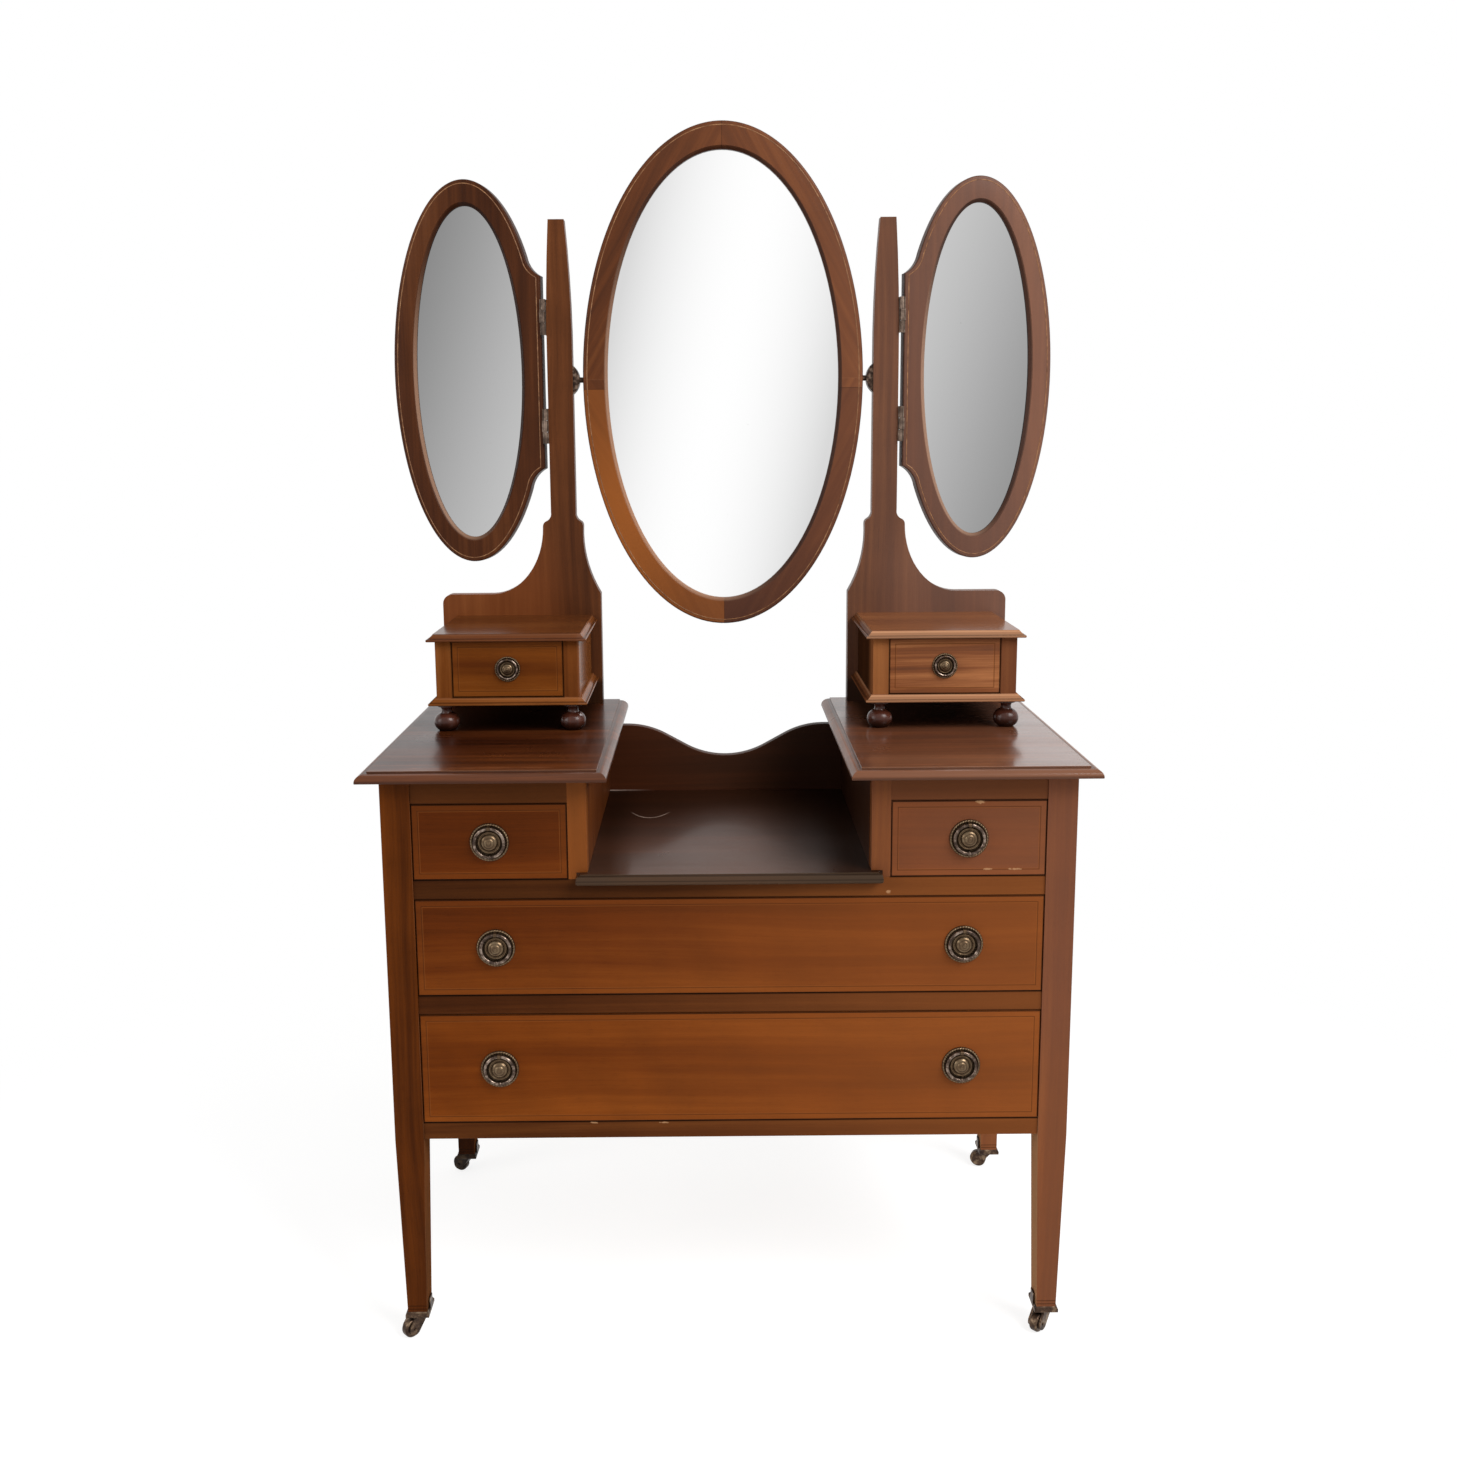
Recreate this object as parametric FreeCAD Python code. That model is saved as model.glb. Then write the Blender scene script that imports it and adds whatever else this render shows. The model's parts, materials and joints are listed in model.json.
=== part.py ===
import FreeCAD, Part
import math
import os

# A dressing table in three-foot width. Lengths are millimetres.
# While building, x = 0 is the middle, y = 0 is the front face of the legs, z = 0 is the floor.

# Pedestal tops
top_width = 915.0
top_overhang = 24.5
top_back_overhang = 2.0
top_height = 775.5
top_thick = 15.5
top_inner_edge = 149.5

# Legs and carcass
leg_width = 37.0
leg_depth_span = 435.0
leg_foot_width = 25.0
leg_foot_depth = 31.0
leg_foot_inset = {"front": 5.0, "rear": 0.0}
leg_foot_height = 35.7
panel_thick = 15.0
panel_inset = 6.0
back_thick = 8.0
back_inset = 6.0
rail_inset = 2.0
rail_depth = 22.0

# Drawer openings, bottom and top heights
bottom_opening = (306.7, 454.0)
middle_opening = (479.0, 606.5)
short_opening = (631.6, 730.0)
carcass_bottom = 284.3

# Well between the pedestals
well_half_width = 177.4
well_board_thick = 14.0
well_post_width = 24.0
shelf_top = 640.0
shelf_thick = 13.0
shelf_nose = 12.0
splash_front = 398.0
splash_thick = 15.0
splash_dip_height = 694.0
splash_shoulder_height = 742.0
splash_dip_half_width = 60.0
splash_shoulder_start = 90.0
splash_shoulder_end = 150.0
splash_slope_deg = 29.0

# Drawers
drawer_front_inset = 1.5
drawer_front_thick = 20.0
drawer_side_thick = 10.0
drawer_bottom_thick = 5.0
drawer_side_drop = 6.0
drawer_floor_rise = 8.0
drawer_gap = 0.8
drawer_back_limit = 402.0
runner_width = 20.0
runner_thick = 10.0
guide_height = 30.0

# Ring pulls on the large drawers. The jewel drawers carry smaller ones.
pull_spread = 295.0
plate_radius = 24.5
plate_thick = 1.8
plate_rim_width = 3.0
plate_rim_height = 2.6
boss_radius = 10.0
boss_height = 9.0
boss_flat_radius = 1.0
ring_radius = 18.4
ring_wire_radius = 2.2
ring_offset = 5.0
ring_drop_radius = 2.9
lug_half_width = 2.0
lug_wall = 1.4
ring_pin_radius = 1.5
ring_side_gap = 0.6
bolt_radius = 2.2
nut_radius = 5.5
nut_thick = 4.0
jewel_pull_scale = 0.72
running_clearance = 0.05
bolt_clearance = 0.15

# Jewel boxes
jewel_centre = 301.3
jewel_body_width = 198.0
jewel_board_width = 219.0
jewel_front = 213.0
jewel_board_overhang = 10.0
jewel_board_thick = 10.0
jewel_base_bottom = 813.0
jewel_top_bottom = 902.0
jewel_side_thick = 22.0
jewel_back_thick = 10.0
jewel_drawer_inset = 0.5
jewel_drawer_room = 4.0
foot_spread = 88.0
foot_setback = 11.0
foot_ball_radius = 17.5
foot_neck_radius = 7.0
foot_collar_radius = 12.5
foot_collar_thick = 3.5

# Shaped uprights
upright_front = 404.0
upright_thick = 20.0
upright_inner = 186.0
upright_outer = 424.0
upright_base_top = 944.0
upright_corner_radius = 14.0
post_inner = 221.0
post_outer = 258.0
shoulder_inner = 210.5
shoulder_outer = 270.5
shoulder_height = 1045.0
neck_turn_height = 1053.5
neck_height = 1066.0
inner_sweep_x = 204.0
inner_sweep_height = 986.0
sweep_width = 79.0
taper_start = 1290.0
post_top = 1488.0
post_top_inner = 229.0
post_top_outer = 252.0

# Centre mirror
mirror_height = 1260.0
mirror_half_width = 206.0
mirror_half_height = 363.0
sight_half_width = 170.0
sight_half_height = 324.0
frame_thick = 20.0
frame_lip = 8.0
sight_bevel = 5.0
rebate_width = 7.0
rebate_gap = 0.5
glass_thick = 4.0
backing_thick = 6.0
frame_round = 3.0
pivot_radius = 4.0
pivot_depth = 11.0
pivot_plate_height = 42.0
pivot_plate_width = 17.0
pivot_plate_rise = 10.0

# Side mirrors, drawn flat on the right and then swung back
side_mirror_height = 1270.0
side_swing_deg = 9.0
side_half_height = 278.0
side_oval_half_width = 114.5
side_oval_centre = 113.5
side_sight_half_width = 81.0
side_sight_half_height = 241.0
side_straight_half = 139.0
side_shoulder_height = 168.0
side_hollow = 0.12
side_frame_thick = 17.0
side_frame_lip = 7.0
hinge_gap = 8.0
hinge_forward = 2.5
hinge_heights = (1193.0, 1350.0)
hinge_length = 51.0
hinge_knuckle_radius = 3.0
hinge_pin_radius = 1.2
hinge_leaf_thick = 1.5
hinge_leaf_depth = 12.5
hinge_knuckle_gap = 0.4

# Castors
castor_plate_width = 30.0
castor_plate_depth = 35.0
castor_plate_thick = 2.5
castor_ear_width = 13.0
castor_ear_height = 15.0
castor_ear_thick = 2.0
castor_ear_gap = 1.2
castor_stem_radius = 4.0
castor_stem_length = 20.0
castor_crown_radius = 11.0
castor_crown_thick = 6.0
castor_gap = 0.3
castor_trail = 14.0
castor_heading_deg = {"front": 226.0, "rear": 155.0}
castor_wheel_radius = 12.5
castor_wheel_width = 11.0
castor_wheel_round = 2.5
castor_arm_thick = 3.0
castor_arm_gap = 0.7
castor_wheel_room = 1.0
castor_axle_radius = 2.0
castor_axle_boss = 8.0

# Places worked out from the sizes above
leg_outer = top_width / 2 - top_overhang
leg_inner = leg_outer - leg_width
leg_back_front = leg_depth_span - leg_width
top_underside = top_height - top_thick
top_back = leg_depth_span + top_back_overhang
rail_back = rail_inset + rail_depth
shelf_underside = shelf_top - shelf_thick
shelf_half_width = well_half_width + well_board_thick
well_post_outer = well_half_width + well_post_width
back_rear = leg_depth_span - back_inset
back_front = back_rear - back_thick
panel_outer = leg_outer - panel_inset
panel_inner = panel_outer - panel_thick
upright_back = upright_front + upright_thick
upright_middle = (upright_front + upright_back) / 2
foot_centre_x = {end: leg_outer - inset - leg_foot_width / 2 for end, inset in leg_foot_inset.items()}
foot_centre_y = {end: inset + leg_foot_depth / 2 for end, inset in leg_foot_inset.items()}
hinge_axis_x = post_outer + hinge_gap / 2
hinge_axis_y = upright_front - hinge_forward
hinge_edge = post_outer + hinge_gap
jewel_opening = (jewel_base_bottom + jewel_board_thick, jewel_top_bottom)
jewel_opening_half = jewel_body_width / 2 - jewel_side_thick
jewel_drawer_front = jewel_front + jewel_drawer_inset
jewel_drawer_back = upright_front - jewel_back_thick - jewel_drawer_room

# The side mirrors' outer edges, swung back, are the rearmost points, and the tops' edges the foremost
side_reach = side_oval_centre + side_oval_half_width + hinge_edge - hinge_axis_x
swing = math.radians(side_swing_deg)
frame_rear = hinge_forward + side_frame_thick
rearmost = hinge_axis_y + side_reach * math.sin(swing) + frame_rear * math.cos(swing)
depth_middle = (rearmost - top_overhang) / 2

X_AXIS = FreeCAD.Vector(1, 0, 0)
Y_AXIS = FreeCAD.Vector(0, 1, 0)
Z_AXIS = FreeCAD.Vector(0, 0, 1)
ORIGIN = FreeCAD.Vector(0, 0, 0)
SIDES = {"left": -1, "right": 1}

pieces = {}


def point(x, y, z):
    return FreeCAD.Vector(x, y, z)


def keep(node, *solids):
    pieces.setdefault(node, []).extend(solids)


def box(x0, x1, y0, y1, z0, z1):
    return Part.makeBox(x1 - x0, y1 - y0, z1 - z0, point(x0, y0, z0))


def rod(radius, start, direction, length):
    return Part.makeCylinder(radius, length, start, direction)


def across(solid):
    return solid.mirror(ORIGIN, X_AXIS)


def on_side(side, solid):
    return solid.copy() if side > 0 else across(solid)


def line(start, end):
    return Part.LineSegment(start, end).toShape()


def arc(start, middle, end):
    return Part.Arc(start, middle, end).toShape()


def face_of(edges):
    return Part.Face(Part.Wire(edges))


def polygon_face(points):
    return Part.Face(Part.makePolygon(points + points[:1]))


def upright_oval(middle, half_width, half_height):
    """An oval line, taller than wide, standing square to the y axis."""
    return Part.Ellipse(middle + Z_AXIS * half_height, middle + X_AXIS * half_width, middle)


def oval_arc(oval, start, end, longer=False):
    """The shorter or the longer way round an oval between two points on it."""
    first, last = sorted((oval.parameter(start), oval.parameter(end)))
    if (last - first > math.pi) != longer:
        first, last = last, first + 2 * math.pi
    return Part.ArcOfEllipse(oval, first, last).toShape()


# Boards with a moulded edge

def moulded_section(low, high, z0, z1, moulding, mould_low, mould_high, place):
    """The section of a board between two edges; place turns a distance and a height into a point."""
    def edge_points(edge, inward):
        return [place(edge + inward * inset, z0 + rise) for inset, rise in moulding]

    right = edge_points(high, -1) if mould_high else [place(high, z0), place(high, z1)]
    left = edge_points(low, 1) if mould_low else [place(low, z0), place(low, z1)]
    return polygon_face(right + left[::-1])


def moulded_board(x0, x1, y0, y1, z0, z1, moulding):
    """A board whose front and two ends carry the same moulding, mitred at the corners."""
    along_y = moulded_section(x0, x1, z0, z1, moulding, True, True, lambda a, z: point(a, y0, z))
    along_x = moulded_section(y0, y1, z0, z1, moulding, True, False, lambda a, z: point(x0, a, z))
    ends = along_y.extrude(point(0, y1 - y0, 0))
    front = along_x.extrude(point(x1 - x0, 0, 0))
    return ends.common(front).removeSplitter()


def ovolo(inset, low, high, steps):
    """A quarter round that leaves the edge at the low height and ends level at the high one."""
    turns = [math.pi / 2 * k / steps for k in range(steps + 1)]
    return [(inset * (1 - math.cos(t)), low + (high - low) * math.sin(t)) for t in turns]


def top_moulding():
    """Thin fillet set well back, a sharp lip, a wide quarter round and a step up to the polished surface."""
    fillet_inset = 12.5
    fillet_height = 2.4
    lip_height = 4.4
    round_width = 12.0
    step = 1.8
    step_height = top_thick - step
    fillet = [(fillet_inset, 0.0), (fillet_inset, fillet_height), (0.6, fillet_height), (0.0, fillet_height + 0.6)]
    quarter_round = ovolo(round_width, lip_height, step_height, 8)
    return fillet + quarter_round + [(round_width + 1.0, step_height), (round_width + 1.0, top_thick)]


def jewel_moulding():
    """A round bead along the edge, a hollow that slopes up behind it and a small step to the flat of the board."""
    bead_height = 3.6
    bead_depth = 1.2
    hollow_width = 6.2
    step = 1.2
    steps = 6
    ways = [k / steps for k in range(steps + 1)]
    bead = [(bead_depth * (1 - math.sin(math.pi * way)), bead_height * (1 - math.cos(math.pi * way)) / 2)
            for way in ways]
    hollow_rise = jewel_board_thick - step - bead_height
    hollow = [(bead_depth + hollow_width * way, bead_height + hollow_rise * way ** 1.7) for way in ways[1:]]
    flat_edge = bead_depth + hollow_width + 0.7
    return bead + hollow + [(flat_edge, jewel_board_thick - step), (flat_edge, jewel_board_thick)]


# Legs

def leg(end):
    """Right leg of one end, drawn as a front leg, with the bore for its castor stem."""
    def oblong(x0, y0, width, depth, z):
        corners = [(x0, y0), (x0 + width, y0), (x0 + width, y0 + depth), (x0, y0 + depth)]
        return Part.makePolygon([point(x, y, z) for x, y in corners + corners[:1]])

    inset = leg_foot_inset[end]
    foot_x = leg_outer - inset - leg_foot_width
    foot = oblong(foot_x, inset, leg_foot_width, leg_foot_depth, leg_foot_height)
    knee = oblong(leg_inner, 0, leg_width, leg_width, carcass_bottom)
    head = oblong(leg_inner, 0, leg_width, leg_width, top_underside)
    body = Part.makeLoft([foot, knee, head], True, True)
    bore_radius = castor_stem_radius + running_clearance
    foot_middle = point(foot_centre_x[end], foot_centre_y[end], leg_foot_height)
    return body.cut(rod(bore_radius, foot_middle, Z_AXIS, castor_stem_length + 1))


def to_corner(solid, side, end):
    """Copies a front right piece to another corner of the table."""
    placed = solid.mirror(point(0, leg_depth_span / 2, 0), Y_AXIS) if end == "rear" else solid.copy()
    return on_side(side, placed)


CORNERS = {f"{end}_{name}": (side, end) for end in ("front", "rear") for name, side in SIDES.items()}

for side, end in CORNERS.values():
    keep("legs", to_corner(leg(end), side, end))


# Carcass boards, rails, runners and guides

def rail(half_width, z0, z1):
    return box(-half_width, half_width, rail_inset, rail_back, z0, z1)


shelf_notch = box(-shelf_half_width, shelf_half_width, rail_inset, rail_back, shelf_underside, shelf_top)
keep("front_rails", rail(leg_inner, carcass_bottom, bottom_opening[0]))
keep("front_rails", rail(leg_inner, bottom_opening[1], middle_opening[0]))
keep("front_rails", rail(leg_inner, middle_opening[1], short_opening[0]).cut(shelf_notch))
keep("back_panels", box(-leg_inner, leg_inner, back_front, back_rear, carcass_bottom, shelf_underside))

for side in SIDES.values():
    top_rail = box(well_post_outer, leg_inner, rail_inset, rail_back, short_opening[1], top_underside)
    keep("front_rails", on_side(side, top_rail))
    panel = box(panel_inner, panel_outer, leg_width, leg_back_front, carcass_bottom, top_underside)
    keep("side_panels", on_side(side, panel))
    upper_back = box(shelf_half_width, leg_inner, back_front, back_rear, shelf_underside, top_underside)
    keep("back_panels", on_side(side, upper_back))
    for opening in (bottom_opening, middle_opening, short_opening):
        bearing = opening[0]
        runner_bottom = bearing - runner_thick
        runner = box(leg_inner - runner_width, leg_inner, rail_back, back_front, runner_bottom, bearing)
        guide = box(leg_inner, panel_inner, leg_width, leg_back_front, runner_bottom, bearing + guide_height)
        keep("drawer_runners", on_side(side, runner), on_side(side, guide))
    inner_runner = box(shelf_half_width, well_post_outer + runner_width, rail_back, back_front,
                       short_opening[0] - runner_thick, short_opening[0])
    inner_guide = box(shelf_half_width, well_post_outer, rail_back, back_front,
                      short_opening[0], short_opening[0] + guide_height)
    keep("drawer_runners", on_side(side, inner_runner), on_side(side, inner_guide))

    # The inner post stands on the upper rail and over the end of the well shelf
    post = box(well_half_width, well_post_outer, rail_inset, rail_back, short_opening[0], top_underside)
    over_shelf = box(well_half_width, shelf_half_width, rail_inset, rail_back, short_opening[0], shelf_top)
    keep("well_sides", on_side(side, post.cut(over_shelf)))
    well_board = box(well_half_width, shelf_half_width, rail_back, back_front, shelf_top, top_underside)
    keep("well_sides", on_side(side, well_board))

    pedestal_top = moulded_board(top_inner_edge, top_width / 2, -top_overhang, top_back,
                                 top_underside, top_height, top_moulding())
    keep("pedestal_tops", on_side(side, pedestal_top))

# Well shelf: its moulded nose stands in front of the posts, and its ends are let in under them
nose_moulding = [(2.0, 0.0), (0.0, 2.0)] + ovolo(5.0, 6.0, shelf_thick - 1.0, 5) + [(5.0, shelf_thick)]
shelf = moulded_board(-shelf_half_width, shelf_half_width, -shelf_nose, splash_front,
                      shelf_underside, shelf_top, nose_moulding)
shelf_body = box(-shelf_half_width, shelf_half_width, rail_inset, splash_front, shelf_underside, shelf_top)
keep("well_shelf", shelf.fuse(shelf_body).removeSplitter())


def splashback():
    """Board behind the well; its top edge dips in the middle between two rounded shoulders."""
    def at(x, z):
        return point(x, splash_front, z)

    run = splash_shoulder_start - splash_dip_half_width
    rise = splash_shoulder_height - splash_dip_height
    slope = math.radians(splash_slope_deg)
    arc_rise = (rise - run * math.tan(slope)) / 2
    half = slope / 2
    dip_end = at(splash_dip_half_width, splash_dip_height + arc_rise)
    dip_start = at(-splash_dip_half_width, splash_dip_height + arc_rise)
    shoulder_start = at(splash_shoulder_start, splash_shoulder_height - arc_rise)
    shoulder_end = at(splash_shoulder_end, splash_shoulder_height)
    shoulder_width = splash_shoulder_end - splash_shoulder_start
    part_way = math.sin(half) / math.sin(slope)
    part_rise = (1 - math.cos(half)) / (1 - math.cos(slope))
    shoulder_middle = at(splash_shoulder_end - shoulder_width * part_way,
                         splash_shoulder_height - arc_rise * part_rise)
    wave = [
        line(at(well_half_width, splash_shoulder_height), shoulder_end),
        arc(shoulder_end, shoulder_middle, shoulder_start),
        line(shoulder_start, dip_end),
    ]
    mirrored = [edge.mirror(ORIGIN, X_AXIS) for edge in reversed(wave)]
    dip = arc(dip_end, at(0, splash_dip_height), dip_start)
    foot = [
        line(at(-well_half_width, splash_shoulder_height), at(-well_half_width, shelf_underside)),
        line(at(-well_half_width, shelf_underside), at(well_half_width, shelf_underside)),
        line(at(well_half_width, shelf_underside), at(well_half_width, splash_shoulder_height)),
    ]
    outline = Part.Wire(Part.__sortEdges__(wave + [dip] + mirrored + foot))
    return Part.Face(outline).extrude(point(0, splash_thick, 0))


keep("splashback", splashback())


# Ring pulls

def pull_plate(scale):
    """Back plate, boss, lug and bolt of one pull, round the y axis, with the drawer face at y = 0."""
    rim_inner = plate_radius - plate_rim_width

    def at(radius, out):
        return point(radius * scale, -out * scale, 0)

    rim_middle = at(plate_radius - plate_rim_width / 2, plate_rim_height)
    dome_middle = at(boss_radius * 0.75, plate_thick + (boss_height - plate_thick) * 0.62)
    profile = [
        line(at(0, 0), at(plate_radius, 0)),
        line(at(plate_radius, 0), at(plate_radius, plate_thick)),
        arc(at(plate_radius, plate_thick), rim_middle, at(rim_inner, plate_thick)),
        line(at(rim_inner, plate_thick), at(boss_radius, plate_thick)),
        arc(at(boss_radius, plate_thick), dome_middle, at(boss_flat_radius, boss_height)),
        line(at(boss_flat_radius, boss_height), at(0, boss_height)),
        line(at(0, boss_height), at(0, 0)),
    ]
    plate = face_of(profile).revolve(ORIGIN, Y_AXIS, 360)
    lug_width = 2 * lug_half_width * scale
    bore_start = point(-lug_width, -ring_offset * scale, ring_radius * scale)
    bore = rod(ring_pin_radius * scale + running_clearance, bore_start, X_AXIS, 2 * lug_width)
    bolt = rod(bolt_radius * scale, ORIGIN, Y_AXIS, drawer_front_thick + 2 * nut_thick * scale)
    return plate.fuse([pull_lug(scale), bolt]).removeSplitter().cut(bore)


def pull_lug(scale):
    """Round-ended lug that stands out from the top of the plate and takes the ring's pin."""
    eye_radius = ring_pin_radius + lug_wall
    low = ring_radius - eye_radius
    high = ring_radius + eye_radius
    root = plate_thick / 2

    def at(out, height):
        return point(-lug_half_width * scale, -out * scale, height * scale)

    outline = [
        line(at(root, low), at(ring_offset, low)),
        arc(at(ring_offset, low), at(ring_offset + eye_radius, ring_radius), at(ring_offset, high)),
        line(at(ring_offset, high), at(root, high)),
        line(at(root, high), at(root, low)),
    ]
    return face_of(outline).extrude(point(2 * lug_half_width * scale, 0, 0))


def pull_nut(scale):
    """Hexagon nut on the bolt, against the inside of the drawer front."""
    corners = [point(nut_radius * scale * math.cos(math.radians(60 * k)), drawer_front_thick,
                     nut_radius * scale * math.sin(math.radians(60 * k))) for k in range(6)]
    prism = polygon_face(corners).extrude(point(0, nut_thick * scale, 0))
    hole_start = point(0, drawer_front_thick - 1, 0)
    hole = rod(bolt_radius * scale + running_clearance, hole_start, Y_AXIS, nut_thick * scale + 2)
    return prism.cut(hole)


def pull_ring(scale):
    """Ring with a straight pin across its top, which runs in the lug, and a small drop at the bottom."""
    middle = point(0, -ring_offset * scale, 0)
    radius = ring_radius * scale
    opening = (lug_half_width + ring_side_gap) * scale
    start = math.asin(opening / radius)
    along = point(math.cos(start), 0, -math.sin(start))
    wire_end = middle + point(math.sin(start), 0, math.cos(start)) * radius
    section = Part.Face(Part.Wire(Part.makeCircle(ring_wire_radius * scale, wire_end, along)))
    hoop = section.revolve(middle, Y_AXIS, 360 - 2 * math.degrees(start))
    pin_half = opening + ring_side_gap * scale
    pin = rod(ring_pin_radius * scale, middle + point(-pin_half, 0, radius), X_AXIS, 2 * pin_half)
    drop = Part.makeSphere(ring_drop_radius * scale, middle - Z_AXIS * radius, X_AXIS)
    return hoop.fuse([pin, drop])


# Drawers

def drawer(name, x0, x1, opening, front, back, scale, pulls):
    """One drawer between two sides of its opening; pulls maps a ring's name to its place across."""
    z0 = opening[0] + drawer_gap
    z1 = opening[1] - drawer_gap
    left = x0 + drawer_gap
    right = x1 - drawer_gap
    inside = front + drawer_front_thick
    pull_height = (opening[0] + opening[1]) / 2
    face = box(left, right, front, inside, z0, z1)
    for ring_name, across_place in pulls.items():
        place = point(across_place, front, pull_height)
        hole = rod(bolt_radius * scale + bolt_clearance, ORIGIN, Y_AXIS, drawer_front_thick)
        face = face.cut(hole.translated(place))
        keep(f"{name}_plates", pull_plate(scale).translated(place), pull_nut(scale).translated(place))
        keep(ring_name, pull_ring(scale).translated(place))
    keep(f"{name}_front", face)
    side_top = z1 - drawer_side_drop * scale
    floor = z0 + drawer_floor_rise * scale
    for side_left in (left, right - drawer_side_thick):
        keep(f"{name}_box", box(side_left, side_left + drawer_side_thick, inside, back, z0, side_top))
    inner_left = left + drawer_side_thick
    inner_right = right - drawer_side_thick
    keep(f"{name}_box", box(inner_left, inner_right, back - drawer_side_thick, back,
                            floor + drawer_bottom_thick, side_top - drawer_side_drop * scale))
    keep(f"{name}_box", box(inner_left, inner_right, inside, back, floor, floor + drawer_bottom_thick))


LONG_PULLS = {"left": -pull_spread, "right": pull_spread}
for drawer_name, opening in (("bottom", bottom_opening), ("middle", middle_opening)):
    rings = {f"{drawer_name}_{name}_ring": place for name, place in LONG_PULLS.items()}
    drawer(f"{drawer_name}_drawer", -leg_inner, leg_inner, opening,
           drawer_front_inset, drawer_back_limit, 1.0, rings)
for name, side in SIDES.items():
    near, far = sorted((side * well_post_outer, side * leg_inner))
    drawer(f"short_{name}_drawer", near, far, short_opening, drawer_front_inset, drawer_back_limit,
           1.0, {f"short_{name}_ring": (near + far) / 2})
    middle = side * jewel_centre
    drawer(f"jewel_{name}_drawer", middle - jewel_opening_half, middle + jewel_opening_half, jewel_opening,
           jewel_drawer_front, jewel_drawer_back, jewel_pull_scale, {f"jewel_{name}_ring": middle})


# Jewel boxes and their feet

def jewel_case(middle):
    """Moulded base and top boards, two thick sides and a thin back board."""
    half_board = jewel_board_width / 2
    half_body = jewel_body_width / 2
    z0, z1 = jewel_opening
    board_front = jewel_front - jewel_board_overhang
    board_span = (middle - half_board, middle + half_board, board_front, upright_front)
    base = moulded_board(*board_span, jewel_base_bottom, z0, jewel_moulding())
    lid = moulded_board(*board_span, z1, z1 + jewel_board_thick, jewel_moulding())
    sides = [
        box(middle + start, middle + start + jewel_side_thick, jewel_front, upright_front, z0, z1)
        for start in (-half_body, half_body - jewel_side_thick)
    ]
    rear = box(middle - jewel_opening_half, middle + jewel_opening_half,
               upright_front - jewel_back_thick, upright_front, z0, z1)
    return [base, lid, rear] + sides


def turned_foot(x, y):
    """Flattened ball under a thin neck and a collar."""
    def at(radius, z):
        return point(radius, 0, z)

    height = jewel_base_bottom - top_height
    pad_radius = 0.55 * foot_ball_radius
    ball_top = 0.66 * height
    collar_bottom = height - foot_collar_thick
    profile = [
        line(at(0, 0), at(pad_radius, 0)),
        arc(at(pad_radius, 0), at(foot_ball_radius, 0.34 * height), at(foot_neck_radius + 1, ball_top)),
        arc(at(foot_neck_radius + 1, ball_top), at(foot_neck_radius, 0.76 * height),
            at(foot_neck_radius + 2.5, collar_bottom)),
        line(at(foot_neck_radius + 2.5, collar_bottom), at(foot_collar_radius, collar_bottom)),
        line(at(foot_collar_radius, collar_bottom), at(foot_collar_radius, height)),
        line(at(foot_collar_radius, height), at(0, height)),
        line(at(0, height), at(0, 0)),
    ]
    return face_of(profile).revolve(ORIGIN, Z_AXIS, 360).translated(point(x, y, top_height))


for side in SIDES.values():
    keep("jewel_box_cases", *jewel_case(side * jewel_centre))
    for offset in (-foot_spread, foot_spread):
        keep("jewel_box_feet", turned_foot(side * jewel_centre + offset, jewel_front + foot_setback))


# Shaped uprights

def upright():
    """Right upright: a wide foot behind the jewel box, a sweep up to a moulded neck, and a tapered post."""
    def at(x, z):
        return point(x, upright_front, z)

    corner = upright_corner_radius
    corner_middle = corner * (1 - math.sqrt(0.5))
    sweep_end = shoulder_outer + sweep_width
    sweep_height = shoulder_height - upright_base_top
    sweep_oval = upright_oval(at(sweep_end, shoulder_height), sweep_width, sweep_height)
    sweep = oval_arc(sweep_oval, at(sweep_end, upright_base_top), at(shoulder_outer, shoulder_height))

    def neck(shoulder, post):
        """A round shoulder turning into a hollow that runs up to the straight post."""
        step = post - shoulder
        turn = at(shoulder + 0.5 * step, neck_turn_height)
        return [
            arc(at(shoulder, shoulder_height), at(shoulder + 0.15 * step, neck_turn_height - 3), turn),
            arc(turn, at(post - 0.15 * step, neck_turn_height + 4), at(post, neck_height)),
        ]

    def taper(post, post_end, bend):
        """A slight bow from the straight post in to its narrow top."""
        bow = at(post + bend * (post_end - post), taper_start + 0.57 * (post_top - taper_start))
        return arc(at(post, taper_start), bow, at(post_end, post_top))

    edges = [
        line(at(upright_inner, top_height), at(upright_outer, top_height)),
        line(at(upright_outer, top_height), at(upright_outer, upright_base_top - corner)),
        arc(at(upright_outer, upright_base_top - corner),
            at(upright_outer - corner_middle, upright_base_top - corner_middle),
            at(upright_outer - corner, upright_base_top)),
        line(at(upright_outer - corner, upright_base_top), at(sweep_end, upright_base_top)),
        sweep,
        *neck(shoulder_outer, post_outer),
        line(at(post_outer, neck_height), at(post_outer, taper_start)),
        taper(post_outer, post_top_outer, 0.3),
        line(at(post_top_outer, post_top), at(post_top_inner, post_top)),
        taper(post_inner, post_top_inner, 0.28),
        line(at(post_inner, taper_start), at(post_inner, neck_height)),
        *neck(shoulder_inner, post_inner),
        arc(at(shoulder_inner, shoulder_height), at(inner_sweep_x, inner_sweep_height),
            at(upright_inner, upright_base_top)),
        line(at(upright_inner, upright_base_top), at(upright_inner, top_height)),
    ]
    return Part.Face(Part.Wire(Part.__sortEdges__(edges))).extrude(point(0, upright_thick, 0))


for side in SIDES.values():
    keep("uprights", on_side(side, upright()))


# Centre mirror and its pivots

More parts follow.
